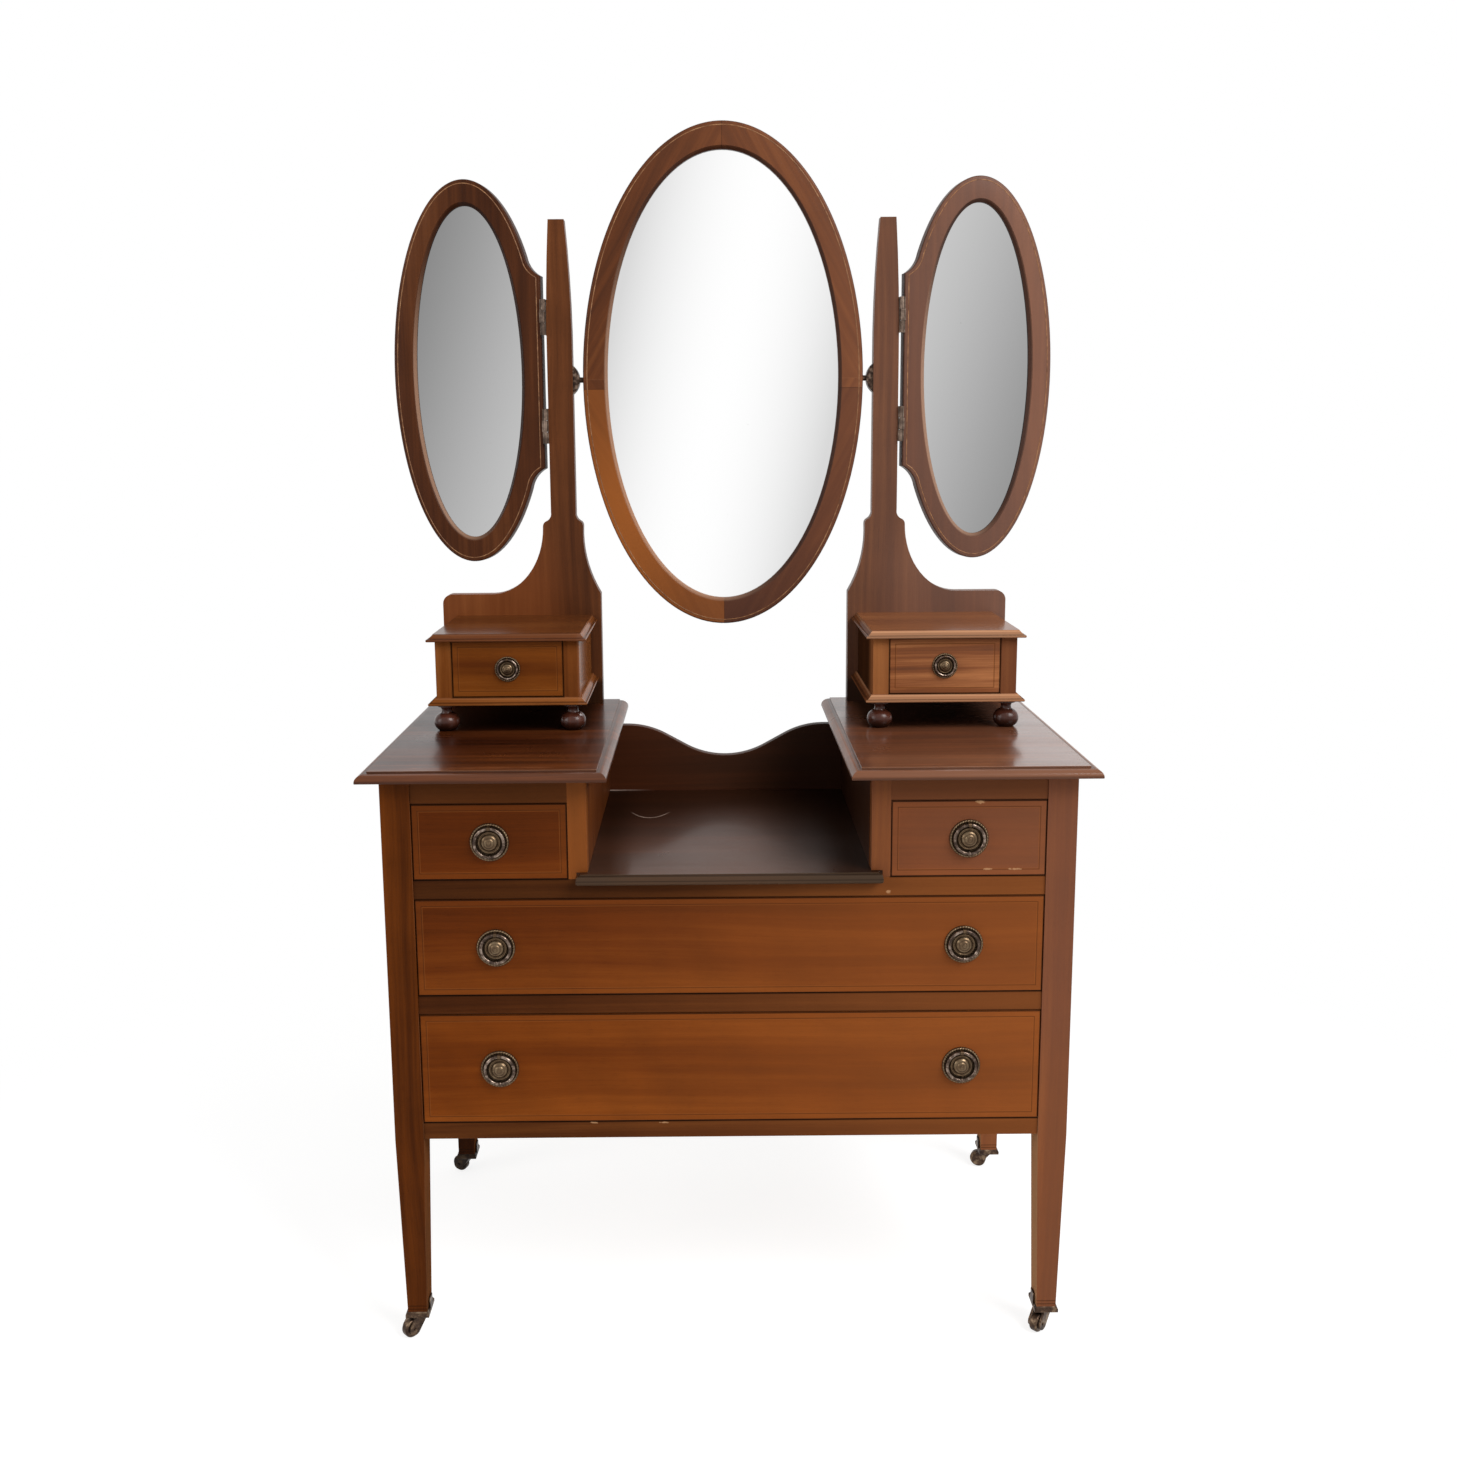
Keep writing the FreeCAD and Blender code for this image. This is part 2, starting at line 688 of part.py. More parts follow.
def oval_wire(x, y, z, half_width, half_height):
    return Part.Wire(upright_oval(point(x, y, z), half_width, half_height).toShape())


def oval_plate(x, y, z, half_width, half_height, thick):
    return Part.Face(oval_wire(x, y, z, half_width, half_height)).extrude(point(0, thick, 0))


def sight_cutter(x, front, z, half_width, half_height, thick, lip):
    """What is taken out of a frame: the bevelled sight opening and the rebate behind the lip."""
    mouth = oval_wire(x, front, z, half_width + sight_bevel, half_height + sight_bevel)
    throat = oval_wire(x, front + sight_bevel, z, half_width, half_height)
    bevel = Part.makeLoft([mouth, throat], True, True)
    through = oval_plate(x, front + sight_bevel / 2, z, half_width, half_height, thick)
    rebate = oval_plate(x, front + lip, z, half_width + rebate_width, half_height + rebate_width, thick)
    return [bevel, through, rebate]


def rounded_front(solid, front):
    """Rounds the outer edge of a frame's face."""
    edges = [edge for edge in solid.Edges if abs(edge.BoundBox.YMin - front) < 0.01
             and abs(edge.BoundBox.YMax - front) < 0.01]
    return solid.makeFillet(frame_round, edges)


def centre_frame():
    """Oval frame in four glued quarters, bored for the two pivots."""
    whole = oval_plate(0, upright_front, mirror_height, mirror_half_width, mirror_half_height, frame_thick)
    whole = rounded_front(whole, upright_front)
    whole = whole.cut(sight_cutter(0, upright_front, mirror_height, sight_half_width, sight_half_height,
                                   frame_thick, frame_lip))
    for side in SIDES.values():
        bore_start = point(side * (mirror_half_width - pivot_depth - 1), upright_middle, mirror_height)
        whole = whole.cut(rod(pivot_radius + running_clearance, bore_start, X_AXIS * side, 2 * pivot_depth))
    reach = 2 * mirror_half_height
    quarters = []
    for right in (0, 1):
        for upper in (0, 1):
            corner = box((right - 1) * reach, right * reach, upright_front - 1, upright_back + 1,
                         mirror_height + (upper - 1) * reach, mirror_height + upper * reach)
            quarters.append(whole.common(corner))
    return quarters


keep("centre_mirror_frame", *centre_frame())
glass_front = upright_front + frame_lip
inset_width = rebate_width - rebate_gap
keep("centre_mirror_glass", oval_plate(0, glass_front, mirror_height, sight_half_width + inset_width,
                                       sight_half_height + inset_width, glass_thick))
keep("centre_mirror_back", oval_plate(0, glass_front + glass_thick, mirror_height,
                                      sight_half_width + inset_width, sight_half_height + inset_width,
                                      backing_thick))


def pivot():
    """Right pivot: an arched brass plate on the edge of the post with a pin into the mirror frame."""
    half = pivot_plate_height / 2
    y0 = upright_middle - pivot_plate_width / 2
    low = point(post_inner, y0, mirror_height - half)
    high = point(post_inner, y0, mirror_height + half)
    crest = point(post_inner - pivot_plate_rise, y0, mirror_height)
    plate = face_of([line(low, high), arc(high, crest, low)]).extrude(point(0, pivot_plate_width, 0))
    pin_end = mirror_half_width - pivot_depth
    pin_start = point(pin_end, upright_middle, mirror_height)
    return plate.fuse(rod(pivot_radius, pin_start, X_AXIS, post_inner - pivot_plate_rise / 2 - pin_end))


for side in SIDES.values():
    keep("mirror_pivots", on_side(side, pivot()))


# Side mirrors and their hinges

def side_outline(front):
    """Oval with a straight hinge side; a hollow curve joins the oval to each end of the straight."""
    def at(inward, rise):
        return point(hinge_edge + inward, front, side_mirror_height + rise)

    def oval_at(rise):
        return side_oval_centre - side_oval_half_width * math.sqrt(1 - (rise / side_half_height) ** 2)

    oval = upright_oval(at(side_oval_centre, 0), side_oval_half_width, side_half_height)
    join = at(oval_at(side_shoulder_height), side_shoulder_height)
    join_low = at(oval_at(side_shoulder_height), -side_shoulder_height)
    around = oval_arc(oval, join, join_low, longer=True)
    chord = (oval_at(side_shoulder_height), side_shoulder_height - side_straight_half)
    bend = (chord[0] / 2 + side_hollow * chord[1],
            side_straight_half + chord[1] / 2 - side_hollow * chord[0])
    straight_top = at(0, side_straight_half)
    straight_low = at(0, -side_straight_half)
    edges = [
        around,
        arc(join, at(bend[0], bend[1]), straight_top),
        line(straight_top, straight_low),
        arc(straight_low, at(bend[0], -bend[1]), join_low),
    ]
    return Part.Face(Part.Wire(Part.__sortEdges__(edges)))


def swung(side, solid):
    """Swings a right-hand piece back about the hinge line, to where it rests, and puts it on its side."""
    turned = solid.copy()
    turned.rotate(point(hinge_axis_x, hinge_axis_y, 0), Z_AXIS, side_swing_deg)
    return on_side(side, turned)


def side_frame():
    front = upright_front
    body = rounded_front(side_outline(front).extrude(point(0, side_frame_thick, 0)), front)
    middle = hinge_edge + side_oval_centre
    cutter = sight_cutter(middle, front, side_mirror_height, side_sight_half_width, side_sight_half_height,
                          side_frame_thick, side_frame_lip)
    return body.cut(cutter + [leaf_recess(height) for height in hinge_heights])


def side_plate(front, thick):
    return oval_plate(hinge_edge + side_oval_centre, front, side_mirror_height,
                      side_sight_half_width + inset_width, side_sight_half_height + inset_width, thick)


def leaf_recess(height):
    """Shallow pocket in the frame's hinge edge that takes a hinge leaf."""
    half = hinge_length / 2
    return box(hinge_edge - 1, hinge_edge + hinge_leaf_thick, hinge_axis_y, upright_front + hinge_leaf_depth,
               height - half, height + half)


def knuckles(height, shares):
    """Barrel segments of one hinge: the outer two on the post leaf, the middle one on the mirror leaf."""
    third = hinge_length / 3
    start = height - hinge_length / 2
    segments = []
    for share in shares:
        low = start + share * third + (hinge_knuckle_gap / 2 if share else 0)
        length = third - (hinge_knuckle_gap / 2 if share in (0, 2) else hinge_knuckle_gap)
        segments.append(rod(hinge_knuckle_radius, point(hinge_axis_x, hinge_axis_y, low), Z_AXIS, length))
    return segments


def post_leaf(height):
    """Leaf on the post's edge, with two knuckles and the pin."""
    half = hinge_length / 2
    leaf = box(post_outer, post_outer + hinge_leaf_thick, hinge_axis_y, upright_front + hinge_leaf_depth,
               height - half, height + half)
    barrel = knuckles(height, (0, 2))
    third = hinge_length / 3
    half_leaf = hinge_leaf_thick / 2
    arms = [
        box(post_outer, hinge_axis_x, hinge_axis_y - half_leaf, hinge_axis_y + half_leaf,
            segment.BoundBox.ZMin, segment.BoundBox.ZMax)
        for segment in barrel
    ]
    middle_clear = rod(hinge_knuckle_radius + hinge_knuckle_gap,
                       point(hinge_axis_x, hinge_axis_y, height - third / 2), Z_AXIS, third)
    pin = rod(hinge_pin_radius, point(hinge_axis_x, hinge_axis_y, height - half), Z_AXIS, hinge_length)
    return leaf.cut(middle_clear).fuse(barrel + arms + [pin]).removeSplitter()


def mirror_leaf(height):
    """Leaf let into the frame's hinge edge, with the middle knuckle."""
    half = hinge_length / 2
    barrel = knuckles(height, (1,))
    low = barrel[0].BoundBox.ZMin
    high = barrel[0].BoundBox.ZMax
    leaf = box(hinge_edge, hinge_edge + hinge_leaf_thick, upright_front, upright_front + hinge_leaf_depth,
               height - half, height + half)
    arm = box(hinge_axis_x, hinge_edge + hinge_leaf_thick, hinge_axis_y - hinge_leaf_thick / 2,
              upright_front + hinge_leaf_thick, low, high)
    bore = rod(hinge_pin_radius + running_clearance, point(hinge_axis_x, hinge_axis_y, low - 1), Z_AXIS,
               high - low + 2)
    return leaf.fuse(barrel + [arm]).removeSplitter().cut(bore)


for name, side in SIDES.items():
    side_glass_front = upright_front + side_frame_lip
    keep(f"{name}_mirror_frame", swung(side, side_frame()))
    keep(f"{name}_mirror_glass", swung(side, side_plate(side_glass_front, glass_thick)))
    back_thick_left = side_frame_thick - side_frame_lip - glass_thick - 1
    side_back = side_plate(side_glass_front + glass_thick, back_thick_left)
    keep(f"{name}_mirror_back", swung(side, side_back))
    for height in hinge_heights:
        keep(f"{name}_mirror_leaves", swung(side, mirror_leaf(height)))
        keep("hinge_post_leaves", on_side(side, post_leaf(height)))


# Castors

def castor_plate(end):
    """Plate under a foot, drawn at the front right, with an ear turned up against the leg's inner face."""
    middle_x = foot_centre_x[end]
    middle_y = foot_centre_y[end]
    half_width = castor_plate_width / 2
    half_depth = castor_plate_depth / 2
    top = leg_foot_height
    plate = box(middle_x - half_width, middle_x + half_width, middle_y - half_depth, middle_y + half_depth,
                top - castor_plate_thick, top)
    ear_outer = middle_x - leg_foot_width / 2 - castor_ear_gap
    ear = box(ear_outer - castor_ear_thick, ear_outer, middle_y - castor_ear_width / 2,
              middle_y + castor_ear_width / 2, top - castor_plate_thick, top + castor_ear_height)
    stem_line = point(middle_x, middle_y, 0)
    bore = rod(castor_stem_radius + running_clearance, stem_line, Z_AXIS, top + 1)
    return plate.fuse(ear).removeSplitter().cut(bore)


def castor_parts():
    """Horn, axle and wheel of one castor, with the swivel line at x = y = 0 and the trail along x."""
    crown_top = leg_foot_height - castor_plate_thick - castor_gap
    crown_bottom = crown_top - castor_crown_thick
    stem = rod(castor_stem_radius, point(0, 0, crown_top - 1), Z_AXIS,
               castor_plate_thick + castor_gap + castor_stem_length)
    crown = rod(castor_crown_radius, point(0, 0, crown_bottom), Z_AXIS, castor_crown_thick)
    axle_height = castor_wheel_radius
    slot_half = castor_wheel_width / 2 + castor_arm_gap
    arm_outer = slot_half + castor_arm_thick

    def at(x, z):
        return point(x, -arm_outer, z)

    def round_axle(degrees):
        turn = math.radians(degrees)
        out = castor_axle_boss * math.cos(turn)
        up = castor_axle_boss * math.sin(turn)
        return at(castor_trail + out, axle_height + up)

    heel = at(-8, crown_bottom + 1)
    shoulder = at(9, crown_top - 1)
    cheek_edges = [
        line(heel, shoulder),
        line(shoulder, round_axle(50)),
        arc(round_axle(50), round_axle(-50), round_axle(-150)),
        line(round_axle(-150), heel),
    ]
    cheeks = face_of(cheek_edges).extrude(point(0, 2 * arm_outer, 0))
    axle_line = point(castor_trail, -arm_outer - 1, axle_height)
    axle_hole = rod(castor_axle_radius + running_clearance / 2, axle_line, Y_AXIS, 2 * arm_outer + 2)
    slot = rod(castor_wheel_radius + castor_wheel_room, point(castor_trail, -slot_half, axle_height), Y_AXIS,
               2 * slot_half)
    horn = crown.fuse([stem, cheeks]).removeSplitter().cut([slot, axle_hole])
    axle = rod(castor_axle_radius, axle_line, Y_AXIS, 2 * arm_outer + 2)
    wheel_start = point(castor_trail, -castor_wheel_width / 2, axle_height)
    wheel = rod(castor_wheel_radius, wheel_start, Y_AXIS, castor_wheel_width)
    wheel = wheel.makeFillet(castor_wheel_round, [edge for edge in wheel.Edges if edge.Closed])
    wheel = wheel.cut(rod(castor_axle_radius + running_clearance, axle_line, Y_AXIS, 2 * arm_outer + 2))
    return [horn, axle], wheel


def turned_castor(solid, heading, place):
    turned = solid.copy()
    turned.rotate(ORIGIN, Z_AXIS, heading)
    return turned.translated(place)


def swivel_place(side, end):
    y = foot_centre_y[end]
    return point(side * foot_centre_x[end], leg_depth_span - y if end == "rear" else y, 0)


for corner, (side, end) in CORNERS.items():
    keep("castor_plates", to_corner(castor_plate(end), side, end))
    horn_solids, wheel = castor_parts()
    place = swivel_place(side, end)
    heading = castor_heading_deg[end]
    keep(f"{corner}_castor_horn", *[turned_castor(solid, heading, place) for solid in horn_solids])
    keep(f"{corner}_castor_wheel", turned_castor(wheel, heading, place))


# One file for each sub-part, with the middle of the whole at x = y = 0
os.makedirs("parts", exist_ok=True)
for node, solids in pieces.items():
    shape = solids[0] if len(solids) == 1 else Part.makeCompound(solids)
    shape.translated(point(0, -depth_middle, 0)).exportStep(f"parts/{node}.step")
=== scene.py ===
from collections import namedtuple
from functools import partial, reduce
import json
import math

import bmesh
import bpy
from mathutils import Matrix, Vector

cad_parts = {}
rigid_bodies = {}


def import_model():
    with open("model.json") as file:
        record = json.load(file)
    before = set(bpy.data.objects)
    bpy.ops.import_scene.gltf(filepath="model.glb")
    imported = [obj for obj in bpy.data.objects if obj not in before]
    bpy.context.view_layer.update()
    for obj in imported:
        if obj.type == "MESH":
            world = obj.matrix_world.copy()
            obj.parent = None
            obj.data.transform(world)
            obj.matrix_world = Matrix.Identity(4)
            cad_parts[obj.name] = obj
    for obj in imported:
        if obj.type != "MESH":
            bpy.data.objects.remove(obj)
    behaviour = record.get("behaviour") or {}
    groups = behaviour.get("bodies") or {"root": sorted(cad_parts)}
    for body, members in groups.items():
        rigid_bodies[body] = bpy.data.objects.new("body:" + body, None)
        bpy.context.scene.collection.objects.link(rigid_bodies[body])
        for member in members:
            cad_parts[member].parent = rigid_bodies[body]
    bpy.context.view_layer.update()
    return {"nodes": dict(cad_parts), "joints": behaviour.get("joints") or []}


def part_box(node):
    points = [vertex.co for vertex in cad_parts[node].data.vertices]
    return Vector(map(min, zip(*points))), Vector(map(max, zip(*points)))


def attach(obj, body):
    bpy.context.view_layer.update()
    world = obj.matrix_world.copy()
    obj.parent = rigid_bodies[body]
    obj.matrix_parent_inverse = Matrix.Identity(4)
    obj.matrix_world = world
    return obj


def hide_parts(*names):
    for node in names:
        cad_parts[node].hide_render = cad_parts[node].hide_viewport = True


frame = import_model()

# The looks of the dressing table: polished mahogany, old brass and mirror glass. Lengths are metres.

nodes = frame["nodes"]
joints = {joint["name"]: joint for joint in frame["joints"]}
SIDES = {"left": -1, "right": 1}
CORNERS = ((-1, -1), (1, -1), (1, 1), (-1, 1))
MM = 0.001

# Camera of the photograph: its place, its turn in radians, and its lens as a length in pixels
PHOTO_SIZE = 1457
CAMERA_PLACE = (-0.0217, -1.8589, 1.1847)
CAMERA_YAW = 0.0018
CAMERA_PITCH = -0.1579
CAMERA_ROLL = -0.0075
LENS_PIXELS = 1367.1
OPTICAL_CENTRE = (712.8, 648.4)
SENSOR = 36.0

# Mirror frames
STRING_INSET = 6.0 * MM
STRING_WIDTH = 1.3 * MM
STRING_PROUD = 0.12 * MM
STRING_DEPTH = 0.4 * MM
SIDE_SWING = math.radians(9.0)
SIDE_HINGE_GAP = 4.0 * MM
SIDE_FACE_SETBACK = 2.5 * MM
SIDE_OVAL_HALF = (114.5 * MM, 278.0 * MM)
SIDE_OVAL_CENTRE = 113.5 * MM
SIDE_STRAIGHT_HALF = 139.0 * MM
SIDE_SHOULDER = 168.0 * MM
SIDE_HOLLOW = 0.12

# Drawer fronts
BORDER_INSET = 8.0 * MM
BORDER_LINE = 0.9 * MM
FRONT_ROUNDING = 0.9 * MM

# Places of wear and lines in the timber
FOOT_LINES = (41.5 * MM, 46.0 * MM)
NOSE_DEPTH = 7.0 * MM
NOSE_LINES = (1.6 * MM, 7.5 * MM)
TOP_WEAR_INSET = 27.0 * MM
TOP_RIM_INSET = 15.0 * MM
DUST_END = (-180 * MM, -105 * MM)
# Where painted light makes the uprights paler at their shoulders
SHOULDER_TOP = (960 * MM, 1080 * MM)
SHOULDER_OUT = (200 * MM, 300 * MM)
QUARTER_JOINT_DROP = 14.0 * MM
GRAIN_DRIFT = 35.0 * MM

# Nicks down to bare wood, in millimetres: the place across, the height and the two half sizes of each
NICKS = {
    "legs": [(-396, 187, 2, 6)],
    "front_rails": [(-176, 305, 5, 1.3), (-86, 304.5, 6, 1.2), (199, 612, 3, 2.5)],
    "short_right_drawer": [(312, 727.5, 6, 2.5), (323, 641, 7, 1.3), (357, 640.5, 9, 1.2)],
}

# Jewel boxes and glass: the boards, the heights in their mouldings, and how far the frames cover the glass
JEWEL_STILE = 21.5 * MM
JEWEL_BOARD = 10.0 * MM
JEWEL_BEAD = 3.9 * MM
JEWEL_ARRIS = 8.6 * MM
GLASS_COVER = 1.5 * MM

# Faces that look ahead, by the y of their normal, and edges that stay crisp, by their angle
AHEAD = -0.3
CREASE = math.radians(32)
PULL_CREASE = math.radians(50)

# Collars of the castors in millimetres: half sizes, and inset and height of each edge of the moulding
COLLAR_HALF = (15.5, 18.0)
COLLAR_PROFILE = (
    (1.1, 30.2), (0.4, 30.2), (0.0, 30.7), (0.0, 34.6), (0.4, 35.3), (1.0, 35.6), (1.1, 36.3), (1.7, 37.2),
    (2.4, 37.6), (2.4, 35.7), (1.1, 35.7),
)

# Scratch in the polish of the well shelf
SCRATCH_MIDDLE = (-110.0 * MM, 30.0 * MM)
SCRATCH_HALF = 30.0 * MM
SCRATCH_RISE = 34.0 * MM

# Ring pulls, in the sizes of the large ones
PULL_RING_WIDTH = 41.2 * MM
PULL_BEADS = 40
PULL_STEPS = 6 * PULL_BEADS


def paint(red, green, blue):
    """A colour as it shows on a screen, turned into the linear one that shaders use."""
    def linear(value):
        share = value / 255
        return share / 12.92 if share <= 0.04045 else ((share + 0.055) / 1.055) ** 2.4

    return (linear(red), linear(green), linear(blue), 1.0)


# Finishes: a material is written as sums on its sockets

def sign(operation, before=True):
    """A method for one sign in a sum, with its wire before the sign or after it."""
    def method(wire, *other):
        values = (wire, *other) if before else (*other, wire)
        return wire.finish.sum(operation, *values)

    return method


class Wire:
    """A socket of a finish that takes part in sums like a number."""

    def __init__(self, finish, socket):
        self.finish = finish
        self.socket = socket

    __add__, __radd__ = sign("ADD"), sign("ADD", before=False)
    __sub__, __rsub__ = sign("SUBTRACT"), sign("SUBTRACT", before=False)
    __mul__, __rmul__ = sign("MULTIPLY"), sign("MULTIPLY", before=False)
    __truediv__, __rtruediv__ = sign("DIVIDE"), sign("DIVIDE", before=False)
    __lt__, __gt__ = sign("LESS_THAN"), sign("GREATER_THAN")
    __abs__ = sign("ABSOLUTE")

    def rise(self, low, high):
        """A smooth step from 0 at low to 1 at high."""
        sockets = {"Value": self, "From Min": low, "From Max": high}
        return self.finish.node("MapRange", {"interpolation_type": "SMOOTHSTEP"}, sockets)

    def fall(self, low, high):
        """A smooth step from 1 at low to 0 at high."""
        return 1 - self.rise(low, high)

    def near(self, inner, outer, *places):
        """1 within inner of any of the places, falling to 0 at outer from them."""
        return self.finish.most(*[abs(self - place).fall(inner, outer) for place in places])


class Finish:
    """A material, or the light of the surroundings, in the making."""

    def __init__(self, name, library=bpy.data.materials):
        self.made = library.new(name)
        self.made.use_nodes = True
        self.tree = self.made.node_tree
        self.tree.nodes.clear()
        self.spot = None

    def node(self, kind, settings, sockets, output=0):
        made = self.tree.nodes.new("ShaderNode" + kind)
        for name, value in settings.items():
            if name == "stops":
                self.set_stops(made.color_ramp.elements, value)
            else:
                setattr(made, name, value)
        for name, value in sockets.items():
            if isinstance(value, Wire):
                self.tree.links.new(value.socket, made.inputs[name])
            else:
                made.inputs[name].default_value = value
        return Wire(self, made.outputs[output]) if made.outputs else None

    @staticmethod
    def set_stops(elements, stops):
        while len(elements) < len(stops):
            elements.new(1.0)
        for element, (place, colour) in zip(elements, stops):
            element.position = place
            element.color = colour

    def sum(self, operation, *values):
        return self.node("Math", {"operation": operation}, dict(enumerate(values)))

    def hypot(self, side, rise):
        return self.sum("SQRT", side * side + rise * rise)

    def least(self, *values):
        return reduce(partial(self.sum, "MINIMUM"), values)

    def most(self, *values):
        return reduce(partial(self.sum, "MAXIMUM"), values)

    def place(self):
        """The three coordinates of a point on the piece, in metres in the table's own frame."""
        if self.spot is None:
            point = self.node("TexCoord", {}, {}, "Object")
            self.spot = [self.node("SeparateXYZ", {}, {0: point}, axis) for axis in "XYZ"]
        return self.spot

    def facing(self, axis):
        """How much a surface of the piece looks along an axis, from -1 to 1."""
        normal = self.node("TexCoord", {}, {}, "Normal")
        return self.node("SeparateXYZ", {}, {0: normal}, axis)

    def looks_ahead(self):
        """1 on the faces of the piece that look to the front."""
        return self.facing("Y") < AHEAD

    def noise(self, x, y, z, detail=2.0, roughness=0.5):
        point = self.node("CombineXYZ", {}, {"X": x, "Y": y, "Z": z})
        sockets = {"Vector": point, "Scale": 1.0, "Detail": detail, "Roughness": roughness}
        return self.node("TexNoise", {}, sockets)

    def even_noise(self, per_metre, *settings):
        """Noise with as many spots to the metre in every direction."""
        x, y, z = self.place()
        return self.noise(x * per_metre, y * per_metre, z * per_metre, *settings)

    def mix(self, share, first, second, blend="MIX"):
        """Two colours mixed; each is a wire or a colour as it shows on a screen."""
        first, second = [side if isinstance(side, Wire) else paint(*side) for side in (first, second)]
        settings = {"data_type": "RGBA", "blend_type": blend}
        return self.node("Mix", settings, {0: share, 6: first, 7: second}, 2)

    def coats(self, colour, coats):
        """A colour under thin coats; each coat is the share that it covers and its colour."""
        for share, tint in coats:
            colour = self.mix(share, colour, tint)
        return colour

    def ramp(self, value, stops):
        painted = [(place, paint(*colour)) for place, colour in stops]
        return self.node("ValToRGB", {"stops": painted}, {0: value})

    def bump(self, height, distance, strength):
        return self.node("Bump", {}, {"Height": height, "Distance": distance, "Strength": strength})

    def surface(self, **sockets):
        named = {name.replace("_", " "): value for name, value in sockets.items()}
        shader = self.node("BsdfPrincipled", {}, named)
        self.node("OutputMaterial", {}, {"Surface": shader})
        return self.made


# Timber

def along_x(x, y, z):
    return x, z, y


def along_y(x, y, z):
    return y, x, z


def along_z(x, y, z):
    return z, x, y


Grain = namedtuple("Grain", "bands streaks fibres pores figure")


def timber(finish, lay, seed):
    """The grain of straight timber that follows the lay; figure is the faint shimmer across it."""
    along, across, deep = lay(*finish.place())
    drift = finish.noise(along * 1.5 + seed, across * 5, deep * 5) - 0.5
    line = across + drift * GRAIN_DRIFT

    def stretched(lengthways, crossways, *settings):
        """Noise drawn out along the grain, with so many spots to the metre each way."""
        return finish.noise(along * lengthways + seed, line * crossways, deep * crossways, *settings)

    bands = stretched(0.9, 12)
    streaks = stretched(2.4, 90, 4.0, 0.6)
    fibres = stretched(20, 900)
    pores = stretched(70, 1900).rise(0.6, 0.72)
    figure = finish.noise(along * 17 + across * 9 + seed, across * 4, deep * 4, 1.0)
    return Grain(bands, streaks, fibres, pores, figure)


def rubbed_edges(finish):
    """1 along the sharp edges of a piece and 0 on its flats."""
    softened = finish.node("Bevel", {"samples": 4}, {"Radius": RUBBED_WIDTH})
    flat = finish.node("NewGeometry", {}, {}, "Normal")
    likeness = finish.node("VectorMath", {"operation": "DOT_PRODUCT"}, {0: softened, 1: flat}, "Value")
    return (1 - likeness).rise(0.02, 0.3)


def polished(name, lay, tones, roughness, level, seed=0.0, marks=None, shine=None, faded=None, streaky=0.4):
    """Polished mahogany in three tones, dark to light, rubbed along its edges, and paler toward the window
    side:
    sun-fading together with painted light and sheen.

    marks adds lines, wear, and painted light and shade to its colour, shine gives the weight of its wax coat,
    and streaky is the share of fine streaks in its grain."""
    finish = Finish(name)
    grain = timber(finish, lay, seed)
    tone = grain.bands * (1 - streaky) + grain.streaks * streaky
    colour = finish.ramp(tone, zip((0.33, 0.5, 0.68), tones))
    x, y, z = finish.place()
    mottle = finish.noise(x * 8 + seed, y * 8, z * 13, 3.0, 0.6)
    shade = 0.8 - grain.fibres * 0.22 - grain.pores * 0.28 + grain.figure * 0.3 + mottle * 0.32
    grey = finish.node("CombineXYZ", {}, {"X": shade, "Y": shade, "Z": shade})
    colour = finish.mix(1.0, colour, grey, "MULTIPLY")
    # Paler and greyer toward the window on the right: sun-fading together with painted light and sheen
    colour = finish.mix(x.rise(-0.35, 0.55) * FADING_AND_LIGHT, colour, faded or FADED_LIT)
    smears = finish.noise(x * 9 + seed, y * 9, z * 9, 4.0)
    rubbed = rubbed_edges(finish) * smears.rise(0.3, 0.65)
    colour = finish.mix(rubbed * 0.4, colour, RUBBED)
    if marks:
        colour = marks(finish, colour)
    rough = roughness + (smears - 0.5) * 0.16 + grain.pores * 0.08
    normal = finish.bump(grain.fibres * 0.4 - grain.pores, distance=0.2 * MM, strength=0.25)
    return finish.surface(Base_Color=colour, Roughness=rough, Normal=normal, Specular_IOR_Level=level,
                          Coat_Weight=shine(finish) if shine else 0.0, Coat_Roughness=0.13)


def waxed(finish, face, left_weight, right_weight, moulding_weight, patch=None):
    """The weight of a wax coat on the flat above a height, rubbed in fine lines and stronger to one side.

    What lies lower, the moulded edge, has a weight of its own, stronger where it looks to the right.
    patch tells where on the flat the wax is left."""
    x, y, z = finish.place()
    cloth = finish.noise(x * 5, y * 16, z * 5, 4.0)
    lines = finish.noise(x * 4, y * 170, z * 4, 3.0)
    weight = left_weight + (right_weight - left_weight) * x.rise(-0.1, 0.45)
    if patch:
        weight = weight * patch(x, y)
    flat = z > face - 0.4 * MM
    moulding = moulding_weight * (1 + finish.facing("X") * 0.5)
    return flat * weight * (0.3 + cloth * 0.7 + lines * 0.65) + (1 - flat) * moulding


def plain_board(name, lay, tones, seed=0.0):
    """Unpolished timber with a dusty surface."""
    finish = Finish(name)
    grain = timber(finish, lay, seed)
    tone = grain.bands * 0.4 + grain.streaks * 0.6
    colour = finish.ramp(tone, zip((0.32, 0.5, 0.7), tones))
    dust = finish.even_noise(6, 5.0, 0.6).rise(0.45, 0.75)
    colour = finish.mix(dust * 0.3, colour, (136, 104, 76))
    rough = 0.72 + (grain.fibres - 0.5) * 0.3
    normal = finish.bump(grain.fibres - grain.pores * 0.8, distance=0.3 * MM, strength=0.5)
    return finish.surface(Base_Color=colour, Roughness=rough, Normal=normal, Specular_IOR_Level=0.25)


